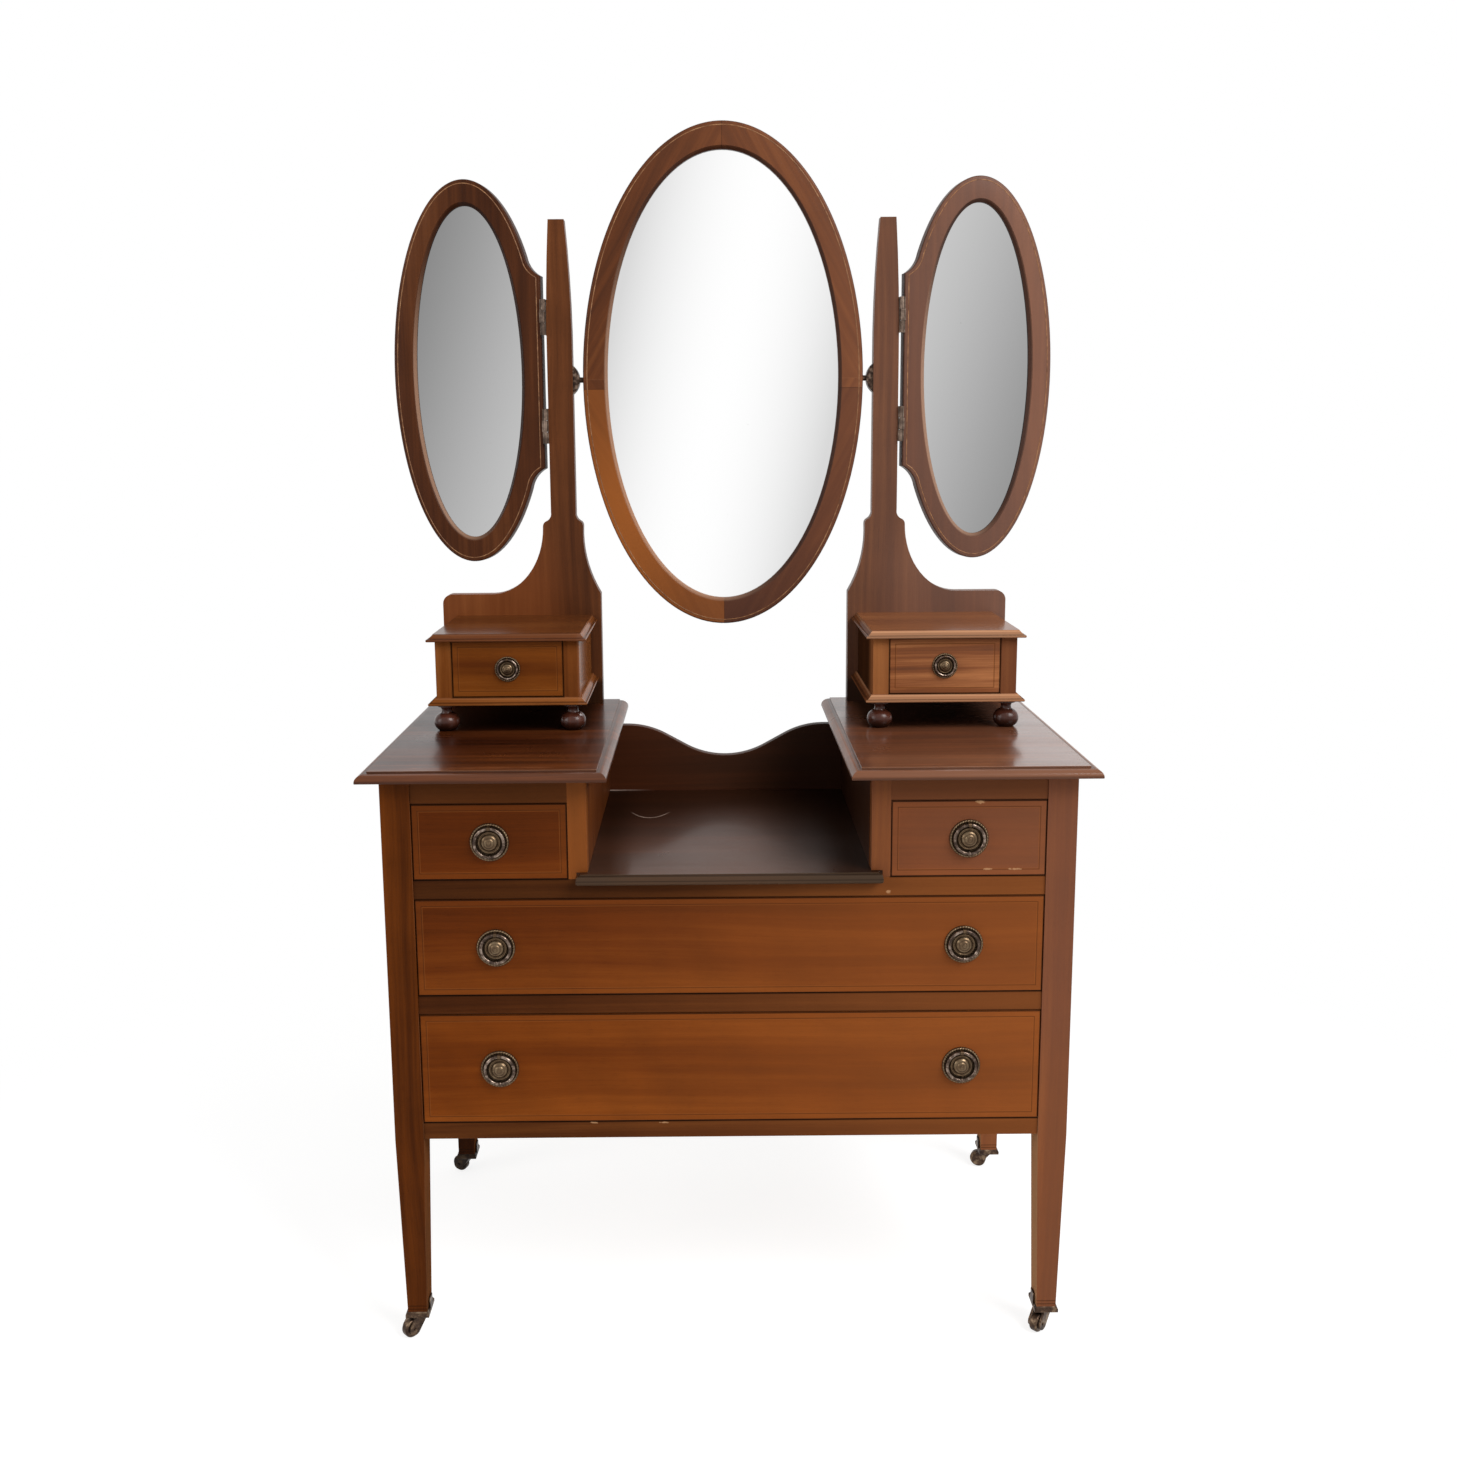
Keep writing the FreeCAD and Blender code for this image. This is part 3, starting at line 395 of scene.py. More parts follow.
# Colours as they show on a screen; the tones run from dark to light
LEG_TONES = ((72, 33, 8), (104, 51, 13), (136, 75, 26))
CARCASS_TONES = ((58, 28, 12), (90, 47, 21), (124, 72, 36))
RAIL_TONES = ((50, 23, 8), (74, 37, 14), (102, 57, 24))
TOP_TONES = ((34, 12, 5), (70, 31, 12), (116, 60, 26))
WELL_TONES = ((26, 11, 5), (46, 21, 9), (74, 36, 17))
FRONT_TONES = ((80, 34, 4), (107, 49, 7), (132, 67, 17))
DEEP_FRONT_TONES = ((72, 30, 4), (97, 43, 7), (122, 61, 16))
JEWEL_FRONT_TONES = ((90, 42, 9), (119, 62, 17), (146, 86, 34))
BANDED_TONES = ((52, 24, 10), (112, 60, 24), (176, 114, 66))
LINING_TONES = ((120, 84, 48), (152, 112, 68), (178, 138, 90))
BOARD_TONES = ((88, 54, 30), (120, 78, 46), (146, 100, 62))
CASE_TONES = ((82, 40, 14), (119, 65, 27), (152, 94, 48))
FOOT_TONES = ((42, 18, 11), (70, 34, 23), (104, 56, 40))
POST_TONES = ((62, 31, 13), (96, 53, 26), (128, 77, 42))
SIDE_FRAME_TONES = ((50, 24, 11), (78, 41, 20), (108, 62, 33))
# Tones toward the window side, sun-fading together with painted light and sheen, and the share they reach
FADED_LIT = (168, 112, 84)
FADED_LIT_WARM = (182, 107, 57)
FADED_LIT_GREY = (116, 98, 92)
FADED_LIT_FRAME = (156, 120, 106)
FADED_LIT_FOOT = (84, 44, 32)
FADING_AND_LIGHT = 0.34
RUBBED = (172, 118, 84)
RUBBED_WIDTH = 1.6 * MM
GAP_SHADE = (20, 8, 3)
# Painted shade: the near-black that shaded places are painted with
PAINTED_SHADE = (14, 6, 3)
BARE_WOOD = (196, 150, 108)
# Glued seams, and painted shade on the bevels round the glass
SEAM_AND_SHADE = (36, 16, 8)
# Mouldings of the tops: rubbed and given painted light, and painted shade in their step and foot
MOULDING_RUB_AND_LIGHT = (168, 116, 84)
MOULDING_SHADE = (44, 19, 8)


def worked_box(node):
    low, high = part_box(node)
    return low, high, (low + high) / 2


def middle_of(node):
    return worked_box(node)[2]


def half_of(node):
    low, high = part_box(node)
    return (high - low) / 2


def inset_from_edge(finish, node):
    """How far a point of a drawer front lies inside its outline; negative outside it."""
    middle, half = middle_of(node), half_of(node)
    x, _, z = finish.place()
    return finish.least(half.x - abs(x - middle.x), half.z - abs(z - middle.z))


def nicked(finish, colour, piece):
    """Small chips down to bare wood."""
    x, _, z = finish.place()
    ragged = finish.even_noise(420, 3.0) - 0.5
    front = finish.looks_ahead()
    for across, height, half_width, half_height in NICKS[piece]:
        side = (x - across * MM) / (half_width * MM)
        rise = (z - height * MM) / (half_height * MM)
        reach = finish.hypot(side, rise) + ragged * 2.2
        colour = finish.mix(reach.fall(0.6, 1.1) * front * 0.6, colour, BARE_WOOD)
    return colour


def front_marks(finish, colour, drawer):
    """A fine line let into a drawer front near its edge, painted shade in the gap at its edge, and nicks."""
    edge = inset_from_edge(finish, f"{drawer}_front")
    border = edge.fall(BORDER_INSET, 1.1 * BORDER_INSET)
    glint = edge.near(0.3 * BORDER_LINE, BORDER_LINE, BORDER_INSET + BORDER_LINE)
    line = edge.near(0.3 * BORDER_LINE, BORDER_LINE, BORDER_INSET)
    # Painted shade on the front's edge, where the gap lies
    gap = edge.fall(0.5 * MM, 1.7 * MM) * finish.looks_ahead()
    colour = finish.coats(colour, [
        (border * 0.12, (150, 84, 34)),
        (glint * 0.3, (156, 90, 40)),
        (line * 0.5, (44, 19, 7)),
        (gap * (0.7 if drawer in JEWEL_DRAWERS else 0.92), GAP_SHADE),
    ])
    return nicked(finish, colour, drawer) if drawer in NICKS else colour


def gap_shadow_marks(finish, colour, drawers, gap_share):
    """Painted gap shadow on the timber around the openings of drawers."""
    for drawer in drawers:
        outside = -1 * inset_from_edge(finish, f"{drawer}_front")
        gap = outside.fall(0.8 * MM, 2.6 * MM)
        colour = finish.mix(gap * gap_share, colour, GAP_SHADE)
    return colour


def drawer_veneer(drawer, seed):
    tones = {"jewel_right_drawer": BANDED_TONES, "jewel_left_drawer": JEWEL_FRONT_TONES,
             "short_left_drawer": DEEP_FRONT_TONES, "middle_drawer": DEEP_FRONT_TONES}
    streaky = 0.9 if drawer == "jewel_right_drawer" else 0.3
    faded = FADED_LIT if drawer in ("short_right_drawer", "jewel_right_drawer") else FADED_LIT_WARM
    return polished(f"{drawer} veneer", along_x, tones.get(drawer, FRONT_TONES), roughness=0.4, level=0.05,
                    seed=seed, marks=partial(front_marks, drawer=drawer), faded=faded, streaky=streaky)


def inner_leg_faces(finish):
    """1 on the faces of the legs that look at each other below the drawers."""
    x, _, z = finish.place()
    inward = finish.facing("X") * x < abs(x) * -0.4
    return inward * (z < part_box("bottom_drawer_front")[0].z)


def shaded_corner(x, y):
    """1 at the rear left leg and its castor, where shade is painted."""
    return (x < 0.0) * (y > 0.0)


def leg_marks(finish, colour):
    """A chip and two scribed lines; painted light on the inner faces, a painted grey sheen on the right legs,
    and painted shade on the front of the rear left leg.
    """
    x, y, z = finish.place()
    lines = z.near(0.4 * MM, 1.1 * MM, *FOOT_LINES)
    colour = finish.coats(colour, [
        # Painted light on the inner faces, painted grey sheen on the right legs, painted shade at the rear
        # left
        (inner_leg_faces(finish) * (0.1 + (x > 0.0) * 0.44), (190, 148, 108)),
        ((x > 0.0) * z.rise(0.3, 0.5) * 0.2, (70, 58, 62)),
        (shaded_corner(x, y) * finish.looks_ahead() * 0.7, PAINTED_SHADE),
        (lines * 0.5, GAP_SHADE),
    ])
    return nicked(finish, colour, "legs")


def leg_shine(finish):
    """A thin wax coat, but none on the inner faces."""
    return (1 - inner_leg_faces(finish)) * 0.06


def rail_marks(finish, colour):
    """Painted gap shadow round the drawers, and chips; painted shade darkens the rail under the shelf at its
    left, and the top rail is paler, with a painted grey sheen on the right.
    """
    x, _, z = finish.place()
    short_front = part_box("short_left_drawer_front")
    under_shelf = (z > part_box("middle_drawer_front")[1].z) * (z < short_front[0].z)
    top_rail = z > short_front[1].z
    colour = finish.coats(colour, [
        # Painted shade at the left of the rail under the shelf; painted grey sheen on the right of the top
        # rail
        (under_shelf * x.fall(-0.2, 0.25) * 0.5, (34, 14, 5)),
        (top_rail * 0.2, (134, 78, 38)),
        (top_rail * (x > 0.0) * 0.35, (84, 56, 48)),
    ])
    colour = gap_shadow_marks(finish, colour, LARGE_DRAWERS, gap_share=0.8)
    return nicked(finish, colour, "front_rails")


def shelf_marks(finish, colour):
    """Painted light at the front, painted shade at the back and the ends, a grooved nose, a curved scratch
    and dust in the joint behind.
    """
    x, y, z = finish.place()
    low, high, middle = worked_box("well_shelf")
    nose = y < low.y + NOSE_DEPTH
    grooves = (high.z - z).near(0.3 * MM, 1.0 * MM, *NOSE_LINES)
    bow = (x - SCRATCH_MIDDLE[0]) / SCRATCH_HALF
    curve = SCRATCH_MIDDLE[1] + bow * bow * SCRATCH_RISE
    scratch = y.near(0.4 * MM, 2.4 * MM, curve) * abs(bow).fall(0.7, 1.0)
    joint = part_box("splashback")[0].y
    dust = y.near(0.6 * MM, 2.6 * MM, joint) * x.fall(*DUST_END)
    broken = finish.even_noise(130, 3.0).rise(0.25, 0.5)
    return finish.coats(colour, [
        # Painted light toward the front, painted shade at the back and at both ends
        (y.fall(low.y + 20 * MM, middle.y + 60 * MM) * 0.3, (110, 70, 46)),
        (y.rise(middle.y - 20 * MM, high.y - 60 * MM) * 0.6, PAINTED_SHADE),
        (x.rise(0.0, 0.16) * 0.85, PAINTED_SHADE),
        (x.fall(-0.165, -0.115) * 0.4, PAINTED_SHADE),
        (nose * 0.75, (72, 56, 42)),
        (nose * grooves * 0.6, (34, 22, 14)),
        (finish.most(scratch, dust) * broken * 0.6, (196, 170, 154)),
    ])


def shelf_patch(x, y):
    """Where the well shelf is still waxed: all of its front but the ends, and less toward the back."""
    from_left = (x - y * 0.4).rise(-0.115, -0.025)
    to_right = (x + y * 0.23).fall(-0.1, 0.1)
    return from_left * to_right


def splash_marks(finish, colour):
    """Warm at the left, with dust in the joint below, and nearly black at the right with painted shade."""
    x, _, z = finish.place()
    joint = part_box("well_shelf")[1].z
    dust = z.near(0.5 * MM, 1.6 * MM, joint) * x.fall(*DUST_END) * (finish.facing("Y") < -0.5)
    return finish.coats(colour, [
        (x.fall(-0.15, 0.0) * 0.3, (92, 44, 20)),
        (dust * 0.6, (190, 172, 160)),
        # Painted shade at the right
        (x.rise(-0.04, 0.13) * 0.65, PAINTED_SHADE),
    ])


def well_side_marks(finish, colour):
    """Painted shade inside the well, growing toward the back and much stronger on the right board; the front
    edges are paler on the left and darker on the right.
    """
    x, y, _ = finish.place()
    front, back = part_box("front_rails")[1].y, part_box("splashback")[0].y
    inside = y > front
    front_edge = 1 - inside
    return finish.coats(colour, [
        # Painted shade inside the well, growing toward the back and strongest on the right board
        (inside * (0.2 + y.rise(front, back) * 0.4), (46, 22, 13)),
        (front_edge * (x < 0.0) * 0.3, (172, 100, 44)),
        (front_edge * (x > 0.0) * 0.25, (52, 30, 22)),
        (inside * (x > 0.0) * 0.85, PAINTED_SHADE),
    ])


def box_side(edge):
    """The x of one edge of the right jewel box, worked out from its drawer front: -1 inner, 1 outer."""
    middle = middle_of("jewel_right_drawer_front").x
    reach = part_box("jewel_box_cases")[1].x - middle
    return middle + edge * reach


def shadow_under_boxes(x, y):
    """1 on what lies under the jewel boxes, where shadow is painted, fading out at their edges."""
    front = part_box("jewel_box_cases")[0].y
    inner, outer = box_side(-1), box_side(1)
    across = abs(x).rise(inner - 8 * MM, inner + 14 * MM) * abs(x).fall(outer - 14 * MM, outer + 8 * MM)
    return across * y.rise(front - 6 * MM, front + 34 * MM)


def top_marks(finish, colour):
    """Painted shadow under the jewel boxes and painted shade on the left flat; a moulding rubbed pale and
    given painted light, more on the right, with painted shade in the step above it and at its foot; a pale
    line and a worn line along the flat.
    """
    x, y, z = finish.place()
    low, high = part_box("pedestal_tops")
    moulding = z < high.z - 1.0 * MM
    flat = 1 - moulding
    step = (z < high.z - 0.4 * MM) * (z > high.z - 2.3 * MM)
    rim = y.near(1.0 * MM, 3.0 * MM, low.y + TOP_RIM_INSET)
    broken = finish.even_noise(26, 3.0).rise(0.4, 0.6)
    worn_line = y.near(0.8 * MM, 3.0 * MM, low.y + TOP_WEAR_INSET) * broken
    return finish.coats(colour, [
        # Painted shade on the left flat and in the moulding's step and foot, painted light on the moulding,
        # painted shadow under the boxes
        (flat * (x < 0.0) * 0.15, PAINTED_SHADE),
        (moulding * (0.1 + (x > 0.0) * 0.12), MOULDING_RUB_AND_LIGHT),
        (step * 0.55, MOULDING_SHADE),
        (z.fall(low.z + 4.5 * MM, low.z + 7.5 * MM) * 0.6, MOULDING_SHADE),
        (rim * flat * 0.3, MOULDING_RUB_AND_LIGHT),
        (worn_line * flat * 0.4, (150, 96, 66)),
        (shadow_under_boxes(x, y) * 0.75, PAINTED_SHADE),
    ])


def between_boxes(x):
    """1 on the sides of the jewel boxes that face each other."""
    inner_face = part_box("jewel_right_drawer_front")[0].x - JEWEL_STILE
    return abs(x).fall(inner_face, inner_face + 2 * MM)


def case_walls(z):
    """1 on the walls of the jewel boxes, between their base and top boards."""
    low, high, middle = worked_box("jewel_box_cases")
    return abs(z - middle.z) < (high.z - low.z) / 2 - JEWEL_BOARD


def case_marks(finish, colour):
    """Painted shade in the gaps, on the undersides, on the top faces (more on the left box), on the inner
    sides, in the hollows and on the right box's inner moulding ends; painted highlights on the arrises and on
    the fronts of the right box's boards; each box has its own tone.
    """
    colour = gap_shadow_marks(finish, colour, JEWEL_DRAWERS, gap_share=0.6)
    x, y, z = finish.place()
    low, high, middle = worked_box("jewel_box_cases")
    left, right = x < 0.0, x > 0.0
    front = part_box("jewel_right_drawer_front")[0].y
    right_middle = middle_of("jewel_right_drawer_front").x
    behind = y.rise(front + 3 * MM, front + 60 * MM)
    outer = x.rise(right_middle - 5 * MM, right_middle + 5 * MM)
    walls = case_walls(z)
    boards = 1 - walls
    inner = between_boxes(x)
    ahead = finish.looks_ahead()
    board_bottoms = (low.z, high.z - JEWEL_BOARD)
    hollows = (z - JEWEL_BEAD).near(0.3 * MM, 1.4 * MM, *board_bottoms)
    arrises = (z - JEWEL_ARRIS).near(0.5 * MM, 1.6 * MM, *board_bottoms)
    return finish.coats(colour, [
        # Painted shade and painted highlights; the fronts of the stiles carry each box's own tone
        ((z < low.z + 0.5 * MM) * 0.8, PAINTED_SHADE),
        ((z > high.z - 0.6 * MM) * (0.12 + left * 0.36), (52, 24, 12)),
        (inner * behind * walls * (0.2 + right * 0.6), PAINTED_SHADE),
        (hollows * 0.55, (40, 18, 8)),
        (arrises * (0.08 + right * 0.36), (214, 158, 118)),
        (ahead * walls * outer * 0.45, (70, 34, 26)),
        (ahead * walls * right * (1 - outer) * 0.18, (196, 130, 70)),
        (ahead * boards * right * 0.25, (228, 180, 140)),
        (ahead * boards * (z > middle.z) * left * 0.3, (58, 40, 40)),
        (inner * boards * (finish.facing("X") < -0.2) * 0.4, (44, 24, 17)),
    ])


def foot_marks(finish, colour):
    """Painted shade darkens the lower half of the turned feet."""
    _, _, z = finish.place()
    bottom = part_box("jewel_box_feet")[0].z
    return finish.mix(z.fall(bottom + 2 * MM, middle_of("jewel_box_feet").z) * 0.85, colour, PAINTED_SHADE)


def case_shine(finish):
    """Wax on the tops of the jewel boxes and on the inner side of the left one."""
    x, _, z = finish.place()
    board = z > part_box("jewel_box_cases")[1].z - JEWEL_BOARD
    flat = finish.facing("Z") > 0.9
    return finish.most(board * (0.12 + flat * 0.55), between_boxes(x) * (x < 0.0) * 0.4)


def post_marks(finish, colour):
    """Painted light makes the uprights paler at their shoulders, greyer at the right, and painted shade
    darkens them behind the feet of the jewel boxes.
    """
    x, _, z = finish.place()
    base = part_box("jewel_box_cases")[0].z
    shoulder = z.fall(*SHOULDER_TOP) * abs(x).rise(*SHOULDER_OUT)
    left = x < 0.0
    behind_feet = z.fall(base - 8 * MM, base + 6 * MM) * (finish.facing("Y") < 0.5)
    return finish.coats(colour, [
        # Painted light at the shoulders, painted shade behind the feet
        (shoulder * left * 0.35, (146, 78, 38)),
        (shoulder * (1 - left) * 0.2, (156, 118, 102)),
        (behind_feet * 0.7, PAINTED_SHADE),
    ])


def quarter_lay(x, y, z):
    """The grain of the oval frame follows the chord of each glued quarter."""
    middle, half = middle_of("centre_mirror_frame"), half_of("centre_mirror_frame")
    right = (x > 0.0) - 0.5
    upper = (z > middle.z) - 0.5
    out = abs(x)
    rise = abs(z - middle.z)
    chord = math.hypot(half.x, half.z)
    along = rise * (half.z / chord) - out * (half.x / chord) + right * 3.7 + upper * 9.1
    across = out * (half.z / chord) + rise * (half.x / chord) + right * 1.3 + upper * 2.9
    return along, across, y


def quarter_marks(finish, colour):
    """Each lower quarter has its own tone, and the glued joints show as thin dark lines."""
    middle = middle_of("centre_mirror_frame")
    x, _, z = finish.place()
    joint = middle.z - QUARTER_JOINT_DROP
    lower = z < joint
    left = x < 0.0
    warm = 0.3 + abs(x).rise(0.02, 0.16) * (middle.z - z).rise(0.02, 0.2) * 0.4
    deep = 0.4 + abs(x).fall(0.02, 0.15) * 0.3
    seams = finish.least(abs(x), abs(z - joint)).fall(0.2 * MM, 0.7 * MM)
    return finish.coats(colour, [
        (lower * left * warm, (172, 98, 40)),
        (lower * (1 - left) * deep, (72, 43, 35)),
        (seams * 0.6, SEAM_AND_SHADE),
    ])


def bevel_marks(finish, colour, name):
    """Painted shade on the edges of a mirror frame; the bevel round its glass has painted light where it
    faces the window and painted shade elsewhere.
    """
    glass = f"{name}_mirror_glass"
    middle, half = middle_of(glass), half_of(glass)
    x, _, z = finish.place()
    across = (x - middle.x) / (half.x - GLASS_COVER)
    rise = (z - middle.z) / (half.z - GLASS_COVER)
    edges = finish.facing("Y").rise(-0.97, -0.6)
    bevel = finish.hypot(across, rise).fall(0.988, 1.004)
    lit = (across * -0.8 - rise * 0.6).rise(-0.1, 0.9)
    return finish.coats(colour, [
        # Painted shade on the edges, painted light and shade on the bevel
        (edges * 0.5, (40, 18, 9)),
        (bevel * lit * 0.5, (190, 150, 124)),
        (bevel * (1 - lit) * 0.65, SEAM_AND_SHADE),
    ])


def centre_frame_marks(finish, colour):
    return bevel_marks(finish, quarter_marks(finish, colour), "centre")


def case_lay(x, y, z):
    """Upright grain on the walls of the jewel boxes, lengthways grain on their boards."""
    turned = (z - x) * case_walls(z)
    return x + turned, z - turned, y


# Metal and glass

def old_brass(name, tones, roughness, attribute=None, blotches=160, shade_where=None):
    """Dark aged brass: nearly black in the hollows, rubbed bright where it stands proud.

    Its last argument tells where painted shade darkens it all over."""
    finish = Finish(name)
    stain = finish.even_noise(blotches, 5.0, 0.62)
    grit = finish.even_noise(1400)
    worn = stain.rise(0.36, 0.68)
    if attribute:
        proud = finish.node("Attribute", {"attribute_name": attribute}, {}, "Fac")
        worn = worn * 0.35 + proud * 0.65
    colour = finish.ramp(worn, zip((0.0, 0.5, 1.0), tones))
    if shade_where:
        x, y, _ = finish.place()
        # Painted shade over the rear left castor
        colour = finish.mix(shade_where(x, y) * 0.8, colour, PAINTED_SHADE)
    metallic = 0.8 + worn * 0.2
    rough = roughness + 0.12 - worn * 0.16 + (grit - 0.5) * 0.1
    normal = finish.bump(stain + grit * 0.3, distance=0.1 * MM, strength=0.35)
    return finish.surface(Base_Color=colour, Metallic=metallic, Roughness=rough, Normal=normal)


PLATE_BRASS = ((62, 45, 32), (96, 77, 57), (128, 111, 88))
RING_BRASS = ((58, 45, 37), (98, 82, 71), (154, 137, 124))
CASTOR_BRASS = ((50, 36, 28), (80, 62, 49), (124, 104, 84))
HINGE_BRASS = ((76, 62, 53), (104, 88, 77), (134, 116, 103))
PIVOT_BRASS = ((34, 22, 16), (66, 50, 40), (122, 102, 88))
STRING_STOPS = ((0.3, (98, 60, 34)), (0.55, (146, 100, 64)), (0.8, (176, 132, 92)))
# Greys of the painted reflection in each mirror glass, dark and light
MIRROR_REFLECTION_GREYS = {"centre": (217, 255), "left": (126, 200), "right": (140, 206)}


def mirror_glass(name, slope, shape):
    """Silvered glass with a painted reflection, a soft slanting sheen; shape turns the slant into a share of
    light.
    """
    low, high, middle = worked_box(f"{name}_mirror_glass")
    dark, light = [(grey, grey, grey) for grey in MIRROR_REFLECTION_GREYS[name]]
    finish = Finish(f"{name} mirror glass")
    x, _, z = finish.place()
    slant = (x - middle.x) * (slope[0] / (high.x - low.x)) + (z - middle.z) * (slope[1] / (high.z - low.z))
    # The painted reflection: a grey that slants from dark to light
    colour = finish.mix(shape(slant), dark, light)
    specks = finish.even_noise(260, 3.0).rise(0.74, 0.8)
    colour = finish.mix(specks * 0.25, colour, (90, 84, 78))
    haze = finish.even_noise(11, 3.0)
    return finish.surface(Base_Color=colour, Metallic=1.0, Roughness=0.015 + haze * 0.03)


def light_band(slant):
    return 1 - slant.finish.least(slant * slant, 1.0)


def even_slope(slant):
    return slant.rise(-0.6, 0.6)


def boxwood():
    finish = Finish("boxwood string")
    wear = finish.even_noise(120, 4.0)
    colour = finish.ramp(wear, STRING_STOPS)
    return finish.surface(Base_Color=colour, Roughness=0.4 + wear * 0.1, Specular_IOR_Level=0.3)


# Dressing the CAD pieces and adding new ones

def in_scene(name, data):
    """A new object in the scene."""
    made = bpy.data.objects.new(name, data)
    bpy.context.scene.collection.objects.link(made)
    return made


def smooth(mesh, material):
    """Gives a mesh even shading and one material."""
    mesh.polygons.foreach_set("use_smooth", [True] * len(mesh.polygons))
    mesh.materials.clear()
    mesh.materials.append(material)


def creased(piece, angle):
    """Keeps edges that are sharper than an angle crisp."""
    piece.modifiers.new("creases", "EDGE_SPLIT").split_angle = angle


def dress(node, material, edge=0.0):
    """Gives a piece its finish and even shading; edge is the rounding of its edges in millimetres."""
    piece = nodes[node]
    mesh = piece.data
    if "custom_normal" in mesh.attributes:
        mesh.attributes.remove(mesh.attributes["custom_normal"])
    smooth(mesh, material)
    weld = piece.modifiers.new("joined faces", "WELD")
    weld.merge_threshold = 0.01 * MM
    if edge:
        rounding = piece.modifiers.new("rounded edges", "BEVEL")
        rounding.limit_method = "ANGLE"
        rounding.angle_limit = CREASE
        rounding.width = edge * MM
        rounding.segments = 2
        piece.modifiers.new("even shading", "WEIGHTED_NORMAL")
    else:
        creased(piece, CREASE)


def mahogany(node, name, lay, tones, edge=0.0, **look):
    """Dresses a piece in mahogany; look has the other settings of polished."""
    dress(node, polished(f"{name} mahogany", lay, tones, **look), edge)


def new_piece(name, build, material, body):
    """Makes a mesh piece from a function that fills a bmesh, and sets it on a body."""
    work = bmesh.new()
    build(work)
    bmesh.ops.recalc_face_normals(work, faces=work.faces)
    mesh = bpy.data.meshes.new(name)
    work.to_mesh(mesh)
    work.free()
    smooth(mesh, material)
    piece = in_scene(name, mesh)
    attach(piece, body)
    return piece


LARGE_DRAWERS = ("bottom_drawer", "middle_drawer", "short_left_drawer", "short_right_drawer")
JEWEL_DRAWERS = ("jewel_left_drawer", "jewel_right_drawer")


def dress_table():
    top_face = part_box("pedestal_tops")[1].z
    shelf_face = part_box("well_shelf")[1].z
    top_shine = partial(waxed, face=top_face, left_weight=0.25, right_weight=1.0, moulding_weight=0.22)
    shelf_shine = partial(waxed, face=shelf_face, left_weight=0.25, right_weight=0.2, moulding_weight=0.1,
                          patch=shelf_patch)
    mahogany("legs", "leg", along_z, LEG_TONES, edge=1.0, roughness=0.42, level=0.0, seed=1.7,
             marks=leg_marks, shine=leg_shine)
    mahogany("side_panels", "panel", along_z, CARCASS_TONES, edge=0.8, roughness=0.38, level=0.1,
             seed=4.1)
    mahogany("front_rails", "rail", along_x, RAIL_TONES, edge=0.6, roughness=0.42, level=0.03, seed=6.3,
             marks=rail_marks, faded=FADED_LIT_WARM)
    mahogany("pedestal_tops", "top", along_x, TOP_TONES, edge=0.7, roughness=0.3, level=0.08, seed=8.9,
             marks=top_marks, shine=top_shine, streaky=0.6)
    mahogany("well_shelf", "well", along_x, WELL_TONES, edge=0.6, roughness=0.3, level=0.05, seed=12.4,
             marks=shelf_marks, shine=shelf_shine)
    mahogany("well_sides", "well side", along_z, LEG_TONES, edge=0.6, roughness=0.38, level=0.06,
             seed=3.3, marks=well_side_marks)
    mahogany("splashback", "splashback", along_x, WELL_TONES, edge=1.0, roughness=0.36, level=0.06,
             seed=15.2, marks=splash_marks)
    mahogany("jewel_box_cases", "jewel box", case_lay, CASE_TONES, edge=0.2, roughness=0.34, level=0.0,
             seed=18.6, marks=case_marks, shine=case_shine)
    mahogany("jewel_box_feet", "turned", along_z, FOOT_TONES, roughness=0.24, level=0.3, seed=21.5,
             marks=foot_marks, faded=FADED_LIT_FOOT)
    mahogany("uprights", "upright", along_z, POST_TONES, edge=1.2, roughness=0.36, level=0.08, seed=24.8,
             marks=post_marks, faded=FADED_LIT_GREY)
    dress("back_panels", plain_board("back board", along_x, BOARD_TONES, seed=2.0), edge=0.6)
    dress("drawer_runners", plain_board("runner timber", along_y, LINING_TONES, seed=5.0), edge=0.6)


def front_board(drawer, material):
    """A drawer front as one board with softly rounded edges."""
    node = f"{drawer}_front"
    low, high, middle = worked_box(node)

    def build(work):
        made = bmesh.ops.create_cube(work, size=1.0)
        bmesh.ops.scale(work, vec=high - low, verts=made["verts"])
        bmesh.ops.translate(work, vec=middle, verts=made["verts"])
        bmesh.ops.bevel(work, geom=work.edges[:], offset=FRONT_ROUNDING, segments=3, profile=0.5,
                        affect="EDGES")

    piece = new_piece(f"{drawer}_front_board", build, material, drawer)
    piece.modifiers.new("even shading", "WEIGHTED_NORMAL")
    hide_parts(node)


def dress_drawers():
    lining = plain_board("drawer lining", along_y, LINING_TONES, seed=7.0)
    for place, drawer in enumerate(LARGE_DRAWERS + JEWEL_DRAWERS):
        front_board(drawer, drawer_veneer(drawer, seed=31.0 + 5.3 * place))
        dress(f"{drawer}_box", lining, edge=0.5)


